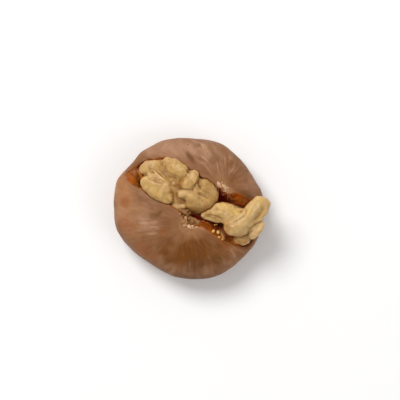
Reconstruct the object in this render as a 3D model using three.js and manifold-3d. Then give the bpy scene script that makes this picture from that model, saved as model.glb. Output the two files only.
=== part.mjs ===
// Nut-stuffed dried fig: one soft dried fig, slit open through its eye and
// spread into a pocket, with two pieces of walnut kernel pressed into it.
// Millimetres, +Z up. The fig lies on its flattened stem side (Z = 0), the slit
// opens upwards, and the origin is under the middle of the whole thing.
import * as THREE from 'three';
import { mergeVertices } from 'three/addons/utils/BufferGeometryUtils.js';
import Module from 'manifold-3d';

// ---------------------------------------------------------------- dimensions
const FIG_AROUND = 84;        // facets around the fruit
const BASE_CENTRE = [-0.65, 0.01];   // middle of the flattened underside
const POCKET_CENTRE = [0.46, 2.01]; // middle of the pocket floor
const POCKET_FLOOR = 16.0;    // height of the pulp under the nuts
const WALL_DEPTH = 4.6;       // depth below the lip where the wall offset is given
const LIP_ROUND = 1.1;        // depth of the rounded lip edge
const DOME_POWER = 2.25;      // squareness of the swollen sides
const STEM_DIMPLE_RADIUS = 3.4;
const STEM_DIMPLE_DEPTH = 2.4;
const STEM_RADIUS = 1.5;
const STEM_TIP_HEIGHT = 0.5;  // the stem stub stays this far above the surface
const NUT_GAP = 0.38;         // clearance between pulp and nuts
const NUT_FACET = 1.15;       // size of the facets on a nut
const CREASE = 1.0;           // how softly the lobes of a nut run together

// One row for each column of the fruit, all around the slit: lip x, y, z, widest
// point x, y, z, then how far the wall stands inside the lip just under it and
// at WALL_DEPTH (negative where the pocket widens under the lip).
const COLUMNS = [
  [-22.57, 14.07, 9, -23.76, 14.85, 7.2, 1, 2.2],
  [-24.38, 12.41, 13.2, -25.63, 12.68, 10.2, 1.2, 2.6],
  [-23.5, 10.45, 16.4, -27.38, 10.23, 10, 1.4, 2.8],
  [-21.13, 8.49, 18.6, -28.35, 5.71, 9.8, 1.2, 2.2],
  [-16.83, 5.92, 20.4, -28.65, 0.52, 9.8, 0.3, 0.9],
  [-12.21, 3.01, 21.6, -27.5, -7.71, 9.8, 0.3, 0.9],
  [-7.87, 0.83, 22.2, -22.24, -14.94, 9.8, 0.3, 0.9],
  [-4.79, -0.91, 22.2, -14.67, -20.79, 9.8, 0.4, 1],
  [-2.54, -4, 21.8, -6.59, -24.91, 9.8, 0.6, 1.4],
  [0.15, -6.99, 21.4, -0.1, -26.17, 9.8, 0.7, 1.6],
  [4.15, -6.85, 20.8, 6.2, -26.02, 9.8, 1.2, 2.8],
  [8.34, -9.86, 19.8, 11.47, -24.25, 9.6, 1.5, 3.2],
  [12.27, -12.24, 18.2, 15.55, -21.66, 9.4, 1.1, 2.4],
  [16.64, -14.21, 15.6, 18.86, -18.71, 9, 0.6, 1.4],
  [20.38, -14.36, 13.2, 21.54, -15.78, 8.8, 0.5, 1],
  [22.87, -12.04, 11.4, 23.79, -12.79, 8.2, 0.6, 1.2],
  [24.66, -7.24, 10.9, 25.89, -7.59, 7.8, 0.6, 1.2],
  [25.46, -1.69, 11.3, 26.84, -1.79, 8, 0.6, 1.2],
  [25.04, 2.01, 12.6, 26.9, 2.23, 8.6, 0.6, 1],
  [22.53, 3.34, 15.2, 26.27, 5.94, 9.4, 0.8, 1.6],
  [19.75, 4.8, 17.4, 24.77, 9.05, 9.8, 1.4, 3.2],
  [16.78, 5.97, 19, 22.55, 12.91, 9.8, 1.7, 3.5],
  [13.62, 5.52, 20, 19.81, 16.47, 9.8, 0.7, 1.3],
  [10.26, 7.85, 20.8, 16.32, 20.21, 9.8, 0.3, 0.5],
  [6.84, 10.32, 21.2, 12.28, 23.29, 9.8, 0.3, 1.2],
  [3.35, 12.5, 21.2, 7.16, 25.18, 9.8, 0.3, 1.3],
  [-0.66, 14.91, 20.8, 1.34, 26.07, 9.8, 0.3, 1.4],
  [-5.04, 18.21, 19.8, -4.74, 26.22, 9.8, 0.3, 1.2],
  [-9.38, 19.28, 18, -10.45, 25.21, 9.8, 0.3, 1.1],
  [-14.06, 18.69, 15.6, -15.01, 22.99, 9.8, 0.4, 1.1],
  [-17.37, 17.57, 13.2, -18.44, 20.82, 9.2, 0.5, 1],
  [-19.77, 16.38, 10.4, -20.66, 18.21, 8.4, 0.8, 1.2],
];

// Lobes of the two pieces of kernel: each lobe is a chain of [x, y, z, radius].
const LEFT_LOBES = [
  [[-17.03, 14.2, 19.96, 1.93], [-15.62, 15.53, 20.17, 1.99], [-13.78, 15.99, 20.41, 1.73]],
  [[-11.88, 15.93, 20.22, 1.66], [-10.6, 13.92, 20.43, 1.6]],
  [[-8.2, 16.8, 20.38, 2.13], [-5.92, 14.91, 21.08, 3.19], [-3.58, 13.64, 21.39, 2.86]],
  [[1.15, 12.24, 21.59, 1.99], [0.36, 9.96, 22.66, 2.39], [-0.9, 8.49, 23.4, 1.99]],
  [[-1.31, 11.63, 21.97, 1.46], [-1.51, 9.96, 22.42, 1.73], [-1.9, 8.83, 22.71, 1.53]],
  [[-9.6, 11.85, 20.74, 1.46], [-7.27, 9.86, 20.08, 1.99], [-4.66, 9.09, 20.14, 2.19], [-2.42, 9.42, 20.49, 1.93]],
  [[-7.26, 7.25, 20.56, 1.46], [-5.77, 5.18, 19.96, 1.53], [-4.41, 2.4, 19.44, 1.33]],
  [[-13.78, 14.53, 20.25, 1.33], [-11.86, 12.72, 20.88, 1.46], [-9.98, 10.84, 21.22, 1.46], [-8.32, 9.18, 20.86, 1.4]],
  [[2.42, 6.4, 22.35, 1.33], [3.92, 6.17, 21.63, 1.53], [5.82, 4.91, 20.92, 1.53]],
  [[3.15, 9.85, 20.76, 1.2], [2.42, 8.37, 21.42, 1.26], [1.49, 7.1, 22.28, 1.06]],
  [[5.02, 9.11, 20.96, 1.93], [6.76, 7.51, 20.31, 2.19], [7.76, 5.58, 19.85, 2.19]],
  [[-3.39, 5.37, 23.61, 1.56], [-1.3, 5.17, 23.23, 1.93], [1.09, 4.57, 22.6, 2.19]],
  [[0.92, 2.57, 21.19, 3.06], [3.42, 2.04, 20.56, 3.06], [5.76, 2.71, 20.15, 2.79], [7.77, 4.04, 19.61, 2.33]],
  [[-16.68, 9.72, 20.56, 1.73], [-15.08, 7.95, 20.37, 2.53], [-12.74, 6.31, 20.54, 2.92], [-10.39, 4.91, 20.94, 2.79], [-8.44, 3.64, 21.54, 2.13]],
  [[-13.73, 9.07, 22.07, 1.53], [-11.22, 7.63, 22.41, 1.99], [-9.06, 6.57, 22.59, 1.93], [-7.76, 4.9, 22.52, 1.33]],
  [[-14.98, 11.84, 21.32, 1.53], [-12.83, 11.1, 22.18, 1.66], [-10.68, 10.16, 22.7, 1.53], [-8.88, 9.06, 22.81, 1.33]],
  [[-6.28, 1.03, 19.54, 1.33], [-4.54, 0.7, 19.5, 1.46]],
  [[-2.78, 0.77, 21.07, 0.66]],
  [[-13.46, 12.95, 16.8, 3.63], [-4.64, 8.43, 16.8, 4.35], [3.5, 4.23, 16.6, 3.99]],
  [[-11.21, 15.13, 17.2, 2.9], [-2.78, 12.41, 17.6, 3.26], [4.72, 7.7, 17.4, 2.9]],
  [[-13.84, 9.49, 17.2, 2.9], [-6.34, 4.78, 17.4, 3.26], [2.6, 1.42, 17.4, 3.26]],
  [[-13.31, 10.45, 19.6, 2.36], [-5.53, 6.42, 19.8, 2.36], [2.05, 3.69, 19.6, 2.18]],
  [[-10.45, 13.14, 19.6, 2.36], [-3.83, 10.06, 19.8, 2.36], [3.08, 7.64, 19.6, 2.36]],
  [[-16.35, 13.8, 17.24, 1.83], [-14.7, 15.13, 17.03, 1.89], [-13.23, 15.59, 16.79, 1.64]],
  [[-7.87, 16.4, 16.82, 2.02], [-5.38, 14.51, 16.12, 3.03], [-3.44, 13.24, 15.81, 2.72]],
  [[1.1, 11.84, 15.61, 1.89], [0.65, 9.56, 14.54, 2.27], [-0.86, 8.09, 13.8, 1.89]],
  [[4.82, 8.71, 16.24, 1.83], [6.79, 7.11, 16.89, 2.08], [7.45, 5.18, 17.35, 2.08]],
  [[0.88, 2.17, 16.01, 2.91], [3.58, 1.64, 16.64, 2.91], [5.53, 2.31, 17.05, 2.65], [7.76, 3.64, 17.59, 2.21]],
  [[-16.01, 9.32, 16.64, 1.64], [-14.18, 7.55, 16.83, 2.4], [-12.23, 5.91, 16.66, 2.77], [-9.67, 4.51, 16.26, 2.65], [-8.1, 3.24, 15.66, 2.02]],
  [[-13.18, 8.67, 15.13, 1.45], [-10.47, 7.23, 14.79, 1.89], [-8.7, 6.17, 14.61, 1.83], [-7.15, 4.5, 14.68, 1.26]],
];
const RIGHT_LOBES = [
  [[24.53, 2.76, 21.7, 1.87], [22.85, 0.52, 22.1, 2.3], [20.48, -2.51, 22.3, 2.54], [18.16, -5.12, 21.9, 2.72], [15.01, -6.84, 20.4, 2.96]],
  [[27.23, 1.78, 20.9, 1.81], [26.72, -0.67, 20.7, 1.72], [24.96, -3.31, 20.6, 1.63], [22.75, -5.84, 20.4, 1.69], [19.88, -7.51, 20.2, 1.81], [17.61, -8.06, 19.8, 2.24]],
  [[25.79, 2.21, 21.1, 1.69], [24.25, -1.28, 20.9, 1.75], [21.83, -4.31, 20.9, 1.81]],
  [[25.84, -6, 19.8, 1.33], [24.58, -7.46, 19.5, 1.69], [23.38, -9.05, 19, 1.69], [23.03, -10.28, 18.4, 1.09]],
  [[4.45, -2.05, 19.4, 0.85], [6.82, -1.65, 19.8, 1.63], [9.4, -0.95, 20.4, 2.12], [11.98, -0.83, 20.6, 2.54], [14.4, -1.43, 20.6, 2.54], [16.82, -1.79, 20.9, 2.05], [18.49, -1.19, 20.9, 1.45]],
  [[9.98, 0.48, 20.4, 1.33], [11.82, 0.81, 20.8, 1.39], [14.4, 0.27, 20.7, 1.39]],
  [[5.37, -3.15, 18.9, 0.85], [7.59, -3.79, 19, 1.12], [9.93, -4.09, 19.3, 1.21]],
  [[12.44, -3.8, 20.1, 1.39], [14.71, -4.1, 20.6, 1.39]],
  [[17.75, -11.64, 17.7, 1.39], [19.03, -11.85, 17.6, 1.72], [20.31, -11.67, 17.7, 1.42]],
  [[14.14, -2.06, 18.4, 1.87], [19.01, -4.49, 18.5, 2.12], [23.26, -2.05, 18.8, 1.81]],
  [[14.79, -6.41, 16.4, 2.18], [18.47, -8.26, 15.8, 2.42], [21.77, -6.79, 15.8, 2.42], [23.97, -3.85, 16, 2.42]],
  [[10.4, -1.29, 14.8, 3.26], [15.18, -2.76, 15, 4.35], [19.58, -4.59, 15.4, 4.2], [23.97, -2.02, 16, 3.26]],
];

// ------------------------------------------------------------------- the fig
function spline(p0, p1, p2, p3, t) {
  return 0.5 * (2 * p1 + (p2 - p0) * t + (2 * p0 - 5 * p1 + 4 * p2 - p3) * t * t +
    (3 * p1 - p0 - 3 * p2 + p3) * t * t * t);
}

// the rings of one column, from the pocket floor over the lip and round to the stem
function columnRings(i) {
  const n = COLUMNS.length;
  const c = COLUMNS[i], a = COLUMNS[(i + n - 1) % n], b = COLUMNS[(i + 1) % n];
  const lip = new THREE.Vector3(c[0], c[1], c[2]);
  const wide = new THREE.Vector3(c[3], c[4], c[5]);
  const along = new THREE.Vector2(b[0] - a[0], b[1] - a[1]).normalize();
  const inward = new THREE.Vector2(-along.y, along.x);
  const rings = [];
  const pocket = (k, z) => rings.push(new THREE.Vector3(
    POCKET_CENTRE[0] + k * (lip.x - POCKET_CENTRE[0]),
    POCKET_CENTRE[1] + k * (lip.y - POCKET_CENTRE[1]), z));
  const low = Math.min(POCKET_FLOOR, lip.z - 1.8);
  pocket(0.3, POCKET_FLOOR - 0.4);
  pocket(0.62, (POCKET_FLOOR + low) / 2 - 0.2);
  const depth = Math.min(WALL_DEPTH, (lip.z - low) * 0.55);
  rings.push(new THREE.Vector3(
    POCKET_CENTRE[0] + 0.86 * (lip.x - POCKET_CENTRE[0]) + inward.x * c[7] * 0.4,
    POCKET_CENTRE[1] + 0.86 * (lip.y - POCKET_CENTRE[1]) + inward.y * c[7] * 0.4,
    low + 0.12 * (lip.z - low)));
  rings.push(new THREE.Vector3(lip.x + inward.x * c[7], lip.y + inward.y * c[7], lip.z - depth));
  rings.push(new THREE.Vector3(lip.x + inward.x * c[6], lip.y + inward.y * c[6],
    lip.z - Math.min(LIP_ROUND, depth * 0.4)));
  rings.push(lip.clone());
  for (const f of [0.06, 0.2, 0.4, 0.6, 0.78, 0.91, 0.98]) {
    rings.push(new THREE.Vector3(
      lip.x + f * (wide.x - lip.x), lip.y + f * (wide.y - lip.y),
      wide.z + (lip.z - wide.z) * Math.pow(1 - Math.pow(f, DOME_POWER), 1 / DOME_POWER)));
  }
  rings.push(wide.clone());
  const under = (k, z) => rings.push(new THREE.Vector3(
    BASE_CENTRE[0] + k * (wide.x - BASE_CENTRE[0]),
    BASE_CENTRE[1] + k * (wide.y - BASE_CENTRE[1]), z));
  under(0.985, wide.z * 0.66);
  under(0.935, wide.z * 0.33);
  under(0.85, wide.z * 0.1);
  under(0.75, 0);
  under(0.52, 0);
  under(0.3, 0);
  const angle = Math.atan2(wide.y - BASE_CENTRE[1], wide.x - BASE_CENTRE[0]);
  const stem = (r, z) => rings.push(new THREE.Vector3(
    BASE_CENTRE[0] + r * Math.cos(angle), BASE_CENTRE[1] + r * Math.sin(angle), z));
  stem(STEM_DIMPLE_RADIUS, STEM_DIMPLE_DEPTH * 0.35);
  stem((STEM_DIMPLE_RADIUS + STEM_RADIUS) / 2, STEM_DIMPLE_DEPTH);
  stem(STEM_RADIUS, STEM_DIMPLE_DEPTH * 0.7);
  stem(STEM_RADIUS * 0.8, STEM_TIP_HEIGHT);
  return rings;
}

function figGeometry() {
  const columns = COLUMNS.map((_, i) => columnRings(i));
  const n = columns.length, m = columns[0].length;
  // around the fruit
  const rings = [];
  for (let j = 0; j < m; j++) {
    const ring = [];
    for (let k = 0; k < FIG_AROUND; k++) {
      const u = (k / FIG_AROUND) * n, i = Math.floor(u), t = u - i;
      const q = [-1, 0, 1, 2].map((d) => columns[(i + d + n) % n][j]);
      ring.push(new THREE.Vector3(
        spline(q[0].x, q[1].x, q[2].x, q[3].x, t),
        spline(q[0].y, q[1].y, q[2].y, q[3].y, t),
        spline(q[0].z, q[1].z, q[2].z, q[3].z, t)));
    }
    rings.push(ring);
  }
  // between the rings: one more ring in the long stretches
  const steps = [2, 2, 2, 2, 1, 1, 1, 2, 2, 2, 1, 1, 1, 1, 1, 1, 1, 2, 2, 1, 1, 1, 1];
  const fine = [];
  for (let j = 0; j < m - 1; j++) {
    for (let s = 0; s < steps[j]; s++) {
      const t = s / steps[j];
      fine.push(rings[j].map((_, k) => {
        const q = [Math.max(j - 1, 0), j, j + 1, Math.min(j + 2, m - 1)].map((r) => rings[r][k]);
        const z = spline(q[0].z, q[1].z, q[2].z, q[3].z, t);
        return new THREE.Vector3(
          spline(q[0].x, q[1].x, q[2].x, q[3].x, t),
          spline(q[0].y, q[1].y, q[2].y, q[3].y, t),
          z < 0.02 ? 0 : z);
      }));
    }
  }
  fine.push(rings[m - 1]);
  const positions = [POCKET_CENTRE[0], POCKET_CENTRE[1], POCKET_FLOOR - 0.5];
  for (const ring of fine) for (const p of ring) positions.push(p.x, p.y, p.z);
  positions.push(BASE_CENTRE[0], BASE_CENTRE[1], STEM_TIP_HEIGHT);
  const at = (j, k) => 1 + j * FIG_AROUND + (k % FIG_AROUND);
  const last = 1 + fine.length * FIG_AROUND;
  const index = [];
  for (let k = 0; k < FIG_AROUND; k++) {
    index.push(0, at(0, k), at(0, k + 1));
    for (let j = 0; j < fine.length - 1; j++) {
      index.push(at(j, k), at(j + 1, k), at(j + 1, k + 1));
      index.push(at(j, k), at(j + 1, k + 1), at(j, k + 1));
    }
    index.push(at(fine.length - 1, k), last, at(fine.length - 1, k + 1));
  }
  const g = new THREE.BufferGeometry();
  g.setAttribute('position', new THREE.Float32BufferAttribute(positions, 3));
  g.setIndex(index);
  return g;
}

// ------------------------------------------------------------------ the nuts
// distance to a chain of round lobes, and all the lobes run softly together
function lobeDistance(chain, x, y, z) {
  let best = Infinity;
  const count = Math.max(chain.length - 1, 1);
  for (let i = 0; i < count; i++) {
    const a = chain[i], b = chain[Math.min(i + 1, chain.length - 1)];
    const bx = b[0] - a[0], by = b[1] - a[1], bz = b[2] - a[2];
    const l = bx * bx + by * by + bz * bz;
    let t = l > 0 ? ((x - a[0]) * bx + (y - a[1]) * by + (z - a[2]) * bz) / l : 0;
    t = Math.min(1, Math.max(0, t));
    const d = Math.hypot(x - a[0] - t * bx, y - a[1] - t * by, z - a[2] - t * bz) -
      (a[3] + t * (b[3] - a[3]));
    if (d < best) best = d;
  }
  return best;
}

function nutDistance(lobes, x, y, z) {
  let d = Infinity;
  for (const chain of lobes) {
    const e = lobeDistance(chain, x, y, z);
    const h = Math.max(CREASE - Math.abs(d - e), 0) / CREASE;
    d = Math.min(d, e) - (Number.isFinite(h) ? h * h * CREASE * 0.25 : 0);
  }
  return d;
}

// the surface where the distance to the lobes is `grow`, as facets about
// NUT_FACET across: one point in each cube of a grid that the surface crosses
function nutGeometry(lobes, grow) {
  const h = NUT_FACET, low = [Infinity, Infinity, Infinity], high = [-Infinity, -Infinity, -Infinity];
  for (const chain of lobes) for (const p of chain) for (let c = 0; c < 3; c++) {
    low[c] = Math.min(low[c], p[c] - p[3] - 2.2 * h);
    high[c] = Math.max(high[c], p[c] + p[3] + 2.2 * h);
  }
  const n = low.map((v, c) => Math.ceil((high[c] - v) / h) + 1);
  const at = (i, j, k) => (k * n[1] + j) * n[0] + i;
  const f = new Float64Array(n[0] * n[1] * n[2]);
  for (let k = 0; k < n[2]; k++) for (let j = 0; j < n[1]; j++) for (let i = 0; i < n[0]; i++) {
    f[at(i, j, k)] = nutDistance(lobes, low[0] + i * h, low[1] + j * h, low[2] + k * h) - grow;
  }
  // close the gaps that are narrower than a grid cube, so that the skin is simple
  const faces = [[1, n[0]], [1, n[0] * n[1]], [n[0], n[0] * n[1]]];
  for (let changed = true, pass = 0; changed && pass < 20; pass++) {
    changed = false;
    for (let k = 0; k < n[2] - 1; k++) for (let j = 0; j < n[1] - 1; j++) for (let i = 0; i < n[0] - 1; i++) {
      const o = at(i, j, k);
      for (const [u, v] of faces) {
        const q = [f[o] < 0, f[o + u] < 0, f[o + v] < 0, f[o + u + v] < 0];
        if (q[0] === q[3] && q[1] === q[2] && q[0] !== q[1]) {
          f[q[0] ? o + u : o] = -0.02 * h;
          changed = true;
        }
      }
      const all = [0, 1, n[0], n[0] + 1].flatMap((e) => [o + e, o + e + n[0] * n[1]]);
      const inside = all.filter((e) => f[e] < 0);
      for (const few of [inside, all.filter((e) => f[e] >= 0)]) {
        if (few.length === 2 && few[1] - few[0] !== 0 && [1, n[0], n[0] * n[1]].every((e) => Math.abs(few[1] - few[0]) !== e)) {
          const out = few === inside ? all.find((e) => f[e] >= 0) : few[0];
          f[out] = -0.02 * h;
          changed = true;
        }
      }
    }
  }
  const points = [], cube = new Map();
  for (let k = 0; k < n[2] - 1; k++) for (let j = 0; j < n[1] - 1; j++) for (let i = 0; i < n[0] - 1; i++) {
    let x = 0, y = 0, z = 0, count = 0;
    for (let c = 0; c < 3; c++) for (let e = 0; e < 4; e++) {
      const d = [0, 0, 0];
      d[(c + 1) % 3] = e & 1;
      d[(c + 2) % 3] = e >> 1;
      const a = at(i + d[0], j + d[1], k + d[2]), b = a + [1, n[0], n[0] * n[1]][c];
      if ((f[a] < 0) === (f[b] < 0)) continue;
      d[c] += f[a] / (f[a] - f[b]);
      x += d[0]; y += d[1]; z += d[2];
      count++;
    }
    if (!count) continue;
    cube.set(at(i, j, k), points.length / 3);
    points.push(low[0] + (i + x / count) * h, low[1] + (j + y / count) * h, low[2] + (k + z / count) * h);
  }
  const index = [], stride = [1, n[0], n[0] * n[1]];
  for (let k = 1; k < n[2] - 1; k++) for (let j = 1; j < n[1] - 1; j++) for (let i = 1; i < n[0] - 1; i++) {
    for (let c = 0; c < 3; c++) {
      const a = at(i, j, k), b = a + stride[c];
      if ((f[a] < 0) === (f[b] < 0)) continue;
      const u = stride[(c + 1) % 3], v = stride[(c + 2) % 3];
      const q = [a - u - v, a - v, a, a - u].map((e) => cube.get(e));
      if (f[a] >= 0) q.reverse();
      index.push(q[0], q[1], q[2], q[0], q[2], q[3]);
    }
  }
  const g = new THREE.BufferGeometry();
  g.setAttribute('position', new THREE.Float32BufferAttribute(points, 3));
  g.setIndex(index);
  return g;
}

// ------------------------------------------------------------ cutting solids
const wasm = await Module();
wasm.setup();

function toSolid(geometry) {
  const g = mergeVertices(geometry, 1e-4);
  return new wasm.Manifold(new wasm.Mesh({
    numProp: 3,
    vertProperties: new Float32Array(g.attributes.position.array),
    triVerts: new Uint32Array(g.index.array),
  }));
}

// the largest connected body of a solid, as a geometry
function largestBody(solid) {
  const mesh = solid.getMesh();
  const stride = mesh.numProp, vp = mesh.vertProperties, tv = mesh.triVerts;
  const positions = new Float32Array((vp.length / stride) * 3);
  for (let i = 0; i < vp.length / stride; i++) {
    for (let c = 0; c < 3; c++) positions[3 * i + c] = vp[stride * i + c];
  }
  let g = new THREE.BufferGeometry();
  g.setAttribute('position', new THREE.BufferAttribute(positions, 3));
  g.setIndex(Array.from(tv));
  g = mergeVertices(g, 2e-3);
  const index = Array.from(g.index.array);
  const parent = Array.from({ length: g.attributes.position.count }, (_, i) => i);
  const find = (i) => { while (parent[i] !== i) { parent[i] = parent[parent[i]]; i = parent[i]; } return i; };
  for (let i = 0; i < index.length; i += 3) {
    parent[find(index[i])] = find(index[i + 1]);
    parent[find(index[i + 1])] = find(index[i + 2]);
  }
  const size = new Map();
  for (let i = 0; i < index.length; i += 3) {
    const r = find(index[i]);
    size.set(r, (size.get(r) || 0) + 1);
  }
  const best = [...size.entries()].sort((x, y) => y[1] - x[1])[0][0];
  const kept = [];
  for (let i = 0; i < index.length; i += 3) {
    const [x, y, z] = [index[i], index[i + 1], index[i + 2]];
    if (find(x) === best && x !== y && y !== z && z !== x) kept.push(x, y, z);
  }
  g.setIndex(kept);
  return g;
}

// ------------------------------------------------------------------ assembly
const group = new THREE.Group();

function addPiece(name, geometry, color, roughness) {
  geometry.computeVertexNormals();
  const mesh = new THREE.Mesh(geometry, new THREE.MeshStandardMaterial({ color, roughness, metalness: 0 }));
  mesh.name = name;
  group.add(mesh);
  return mesh;
}

const left = nutGeometry(LEFT_LOBES, 0);
const right = nutGeometry(RIGHT_LOBES, 0);
const leftSpace = toSolid(nutGeometry(LEFT_LOBES, NUT_GAP));
const rightSpace = toSolid(nutGeometry(RIGHT_LOBES, NUT_GAP));

// the pulp stands clear of the nuts: of their grown surfaces, and of the nuts
// themselves moved a little each way
let pocketed = toSolid(figGeometry()).subtract(leftSpace).subtract(rightSpace);
for (const nut of [toSolid(left), toSolid(right)]) {
  for (const axis of [0, 1, 2]) for (const step of [-0.3, 0.3]) {
    pocketed = pocketed.subtract(nut.translate([0, 1, 2].map((c) => (c === axis ? step : 0))));
  }
}
addPiece('fig', largestBody(pocketed), 0xa97a58, 0.55);
addPiece('walnut_half_left', left, 0xd2ad78, 0.6);
addPiece('walnut_half_right', largestBody(toSolid(right).subtract(leftSpace)), 0xd8b481, 0.6);

export default group;
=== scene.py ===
# Nut-stuffed dried fig: the looks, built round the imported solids.
# Shapes are worked out in millimetres and written to the meshes in metres.
import math
import bpy
import numpy as np
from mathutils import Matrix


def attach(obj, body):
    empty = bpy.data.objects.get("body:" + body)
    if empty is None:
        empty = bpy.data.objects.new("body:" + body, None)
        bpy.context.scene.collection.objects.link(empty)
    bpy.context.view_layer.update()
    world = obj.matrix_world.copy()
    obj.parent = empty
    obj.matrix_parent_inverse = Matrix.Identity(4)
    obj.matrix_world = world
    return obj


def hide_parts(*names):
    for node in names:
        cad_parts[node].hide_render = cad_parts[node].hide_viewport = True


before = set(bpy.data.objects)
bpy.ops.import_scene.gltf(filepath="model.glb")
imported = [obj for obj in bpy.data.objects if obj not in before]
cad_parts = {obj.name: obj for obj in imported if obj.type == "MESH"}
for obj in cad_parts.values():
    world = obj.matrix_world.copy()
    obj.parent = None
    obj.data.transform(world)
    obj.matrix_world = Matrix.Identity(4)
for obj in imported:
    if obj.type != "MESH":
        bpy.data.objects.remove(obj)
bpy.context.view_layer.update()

MM = 0.001
LIGHT = 1.12           # what a white surface facing up sends back, next to the display's white

# ------------------------------------------------------------------ dimensions
BASE_CENTRE = np.array([-0.65, 0.01])
POCKET_CENTRE = np.array([0.46, 2.01])
POCKET_FLOOR = 16.0
WALL_DEPTH = 4.6
LIP_ROUND = 1.1
DOME_POWER = 2.25
STEM_DIMPLE_RADIUS = 3.4
STEM_DIMPLE_DEPTH = 2.4
STEM_RADIUS = 1.5
STEM_TIP_HEIGHT = 0.5
EYE_LOW = np.array([-0.65, -5.58])    # the half of the fruit's eye on the wide lip
EYE_HIGH = np.array([12.11, 7.93])  # the half on the narrow lip

# One row for each column of the fruit, all around the slit: lip x, y, z, widest
# point x, y, z, then how far the wall stands inside the lip just under it and
# at WALL_DEPTH.
COLUMNS = np.array([
    [-22.57, 14.07, 9, -23.76, 14.85, 7.2, 1, 2.2],
    [-24.38, 12.41, 13.2, -25.63, 12.68, 10.2, 1.2, 2.6],
    [-23.5, 10.45, 16.4, -27.38, 10.23, 10, 1.4, 2.8],
    [-21.13, 8.49, 18.6, -28.35, 5.71, 9.8, 1.2, 2.2],
    [-16.83, 5.92, 20.4, -28.65, 0.52, 9.8, 0.3, 0.9],
    [-12.21, 3.01, 21.6, -27.5, -7.71, 9.8, 0.3, 0.9],
    [-7.87, 0.83, 22.2, -22.24, -14.94, 9.8, 0.3, 0.9],
    [-4.79, -0.91, 22.2, -14.67, -20.79, 9.8, 0.4, 1],
    [-2.54, -4, 21.8, -6.59, -24.91, 9.8, 0.6, 1.4],
    [0.15, -6.99, 21.4, -0.1, -26.17, 9.8, 0.7, 1.6],
    [4.15, -6.85, 20.8, 6.2, -26.02, 9.8, 1.2, 2.8],
    [8.34, -9.86, 19.8, 11.47, -24.25, 9.6, 1.5, 3.2],
    [12.27, -12.24, 18.2, 15.55, -21.66, 9.4, 1.1, 2.4],
    [16.64, -14.21, 15.6, 18.86, -18.71, 9, 0.6, 1.4],
    [20.38, -14.36, 13.2, 21.54, -15.78, 8.8, 0.5, 1],
    [22.87, -12.04, 11.4, 23.79, -12.79, 8.2, 0.6, 1.2],
    [24.66, -7.24, 10.9, 25.89, -7.59, 7.8, 0.6, 1.2],
    [25.46, -1.69, 11.3, 26.84, -1.79, 8, 0.6, 1.2],
    [25.04, 2.01, 12.6, 26.9, 2.23, 8.6, 0.6, 1],
    [22.53, 3.34, 15.2, 26.27, 5.94, 9.4, 0.8, 1.6],
    [19.75, 4.8, 17.4, 24.77, 9.05, 9.8, 1.4, 3.2],
    [16.78, 5.97, 19, 22.55, 12.91, 9.8, 1.7, 3.5],
    [13.62, 5.52, 20, 19.81, 16.47, 9.8, 0.7, 1.3],
    [10.26, 7.85, 20.8, 16.32, 20.21, 9.8, 0.3, 0.5],
    [6.84, 10.32, 21.2, 12.28, 23.29, 9.8, 0.3, 1.2],
    [3.35, 12.5, 21.2, 7.16, 25.18, 9.8, 0.3, 1.3],
    [-0.66, 14.91, 20.8, 1.34, 26.07, 9.8, 0.3, 1.4],
    [-5.04, 18.21, 19.8, -4.74, 26.22, 9.8, 0.3, 1.2],
    [-9.38, 19.28, 18, -10.45, 25.21, 9.8, 0.3, 1.1],
    [-14.06, 18.69, 15.6, -15.01, 22.99, 9.8, 0.4, 1.1],
    [-17.37, 17.57, 13.2, -18.44, 20.82, 9.2, 0.5, 1],
    [-19.77, 16.38, 10.4, -20.66, 18.21, 8.4, 0.8, 1.2],
])

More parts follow.
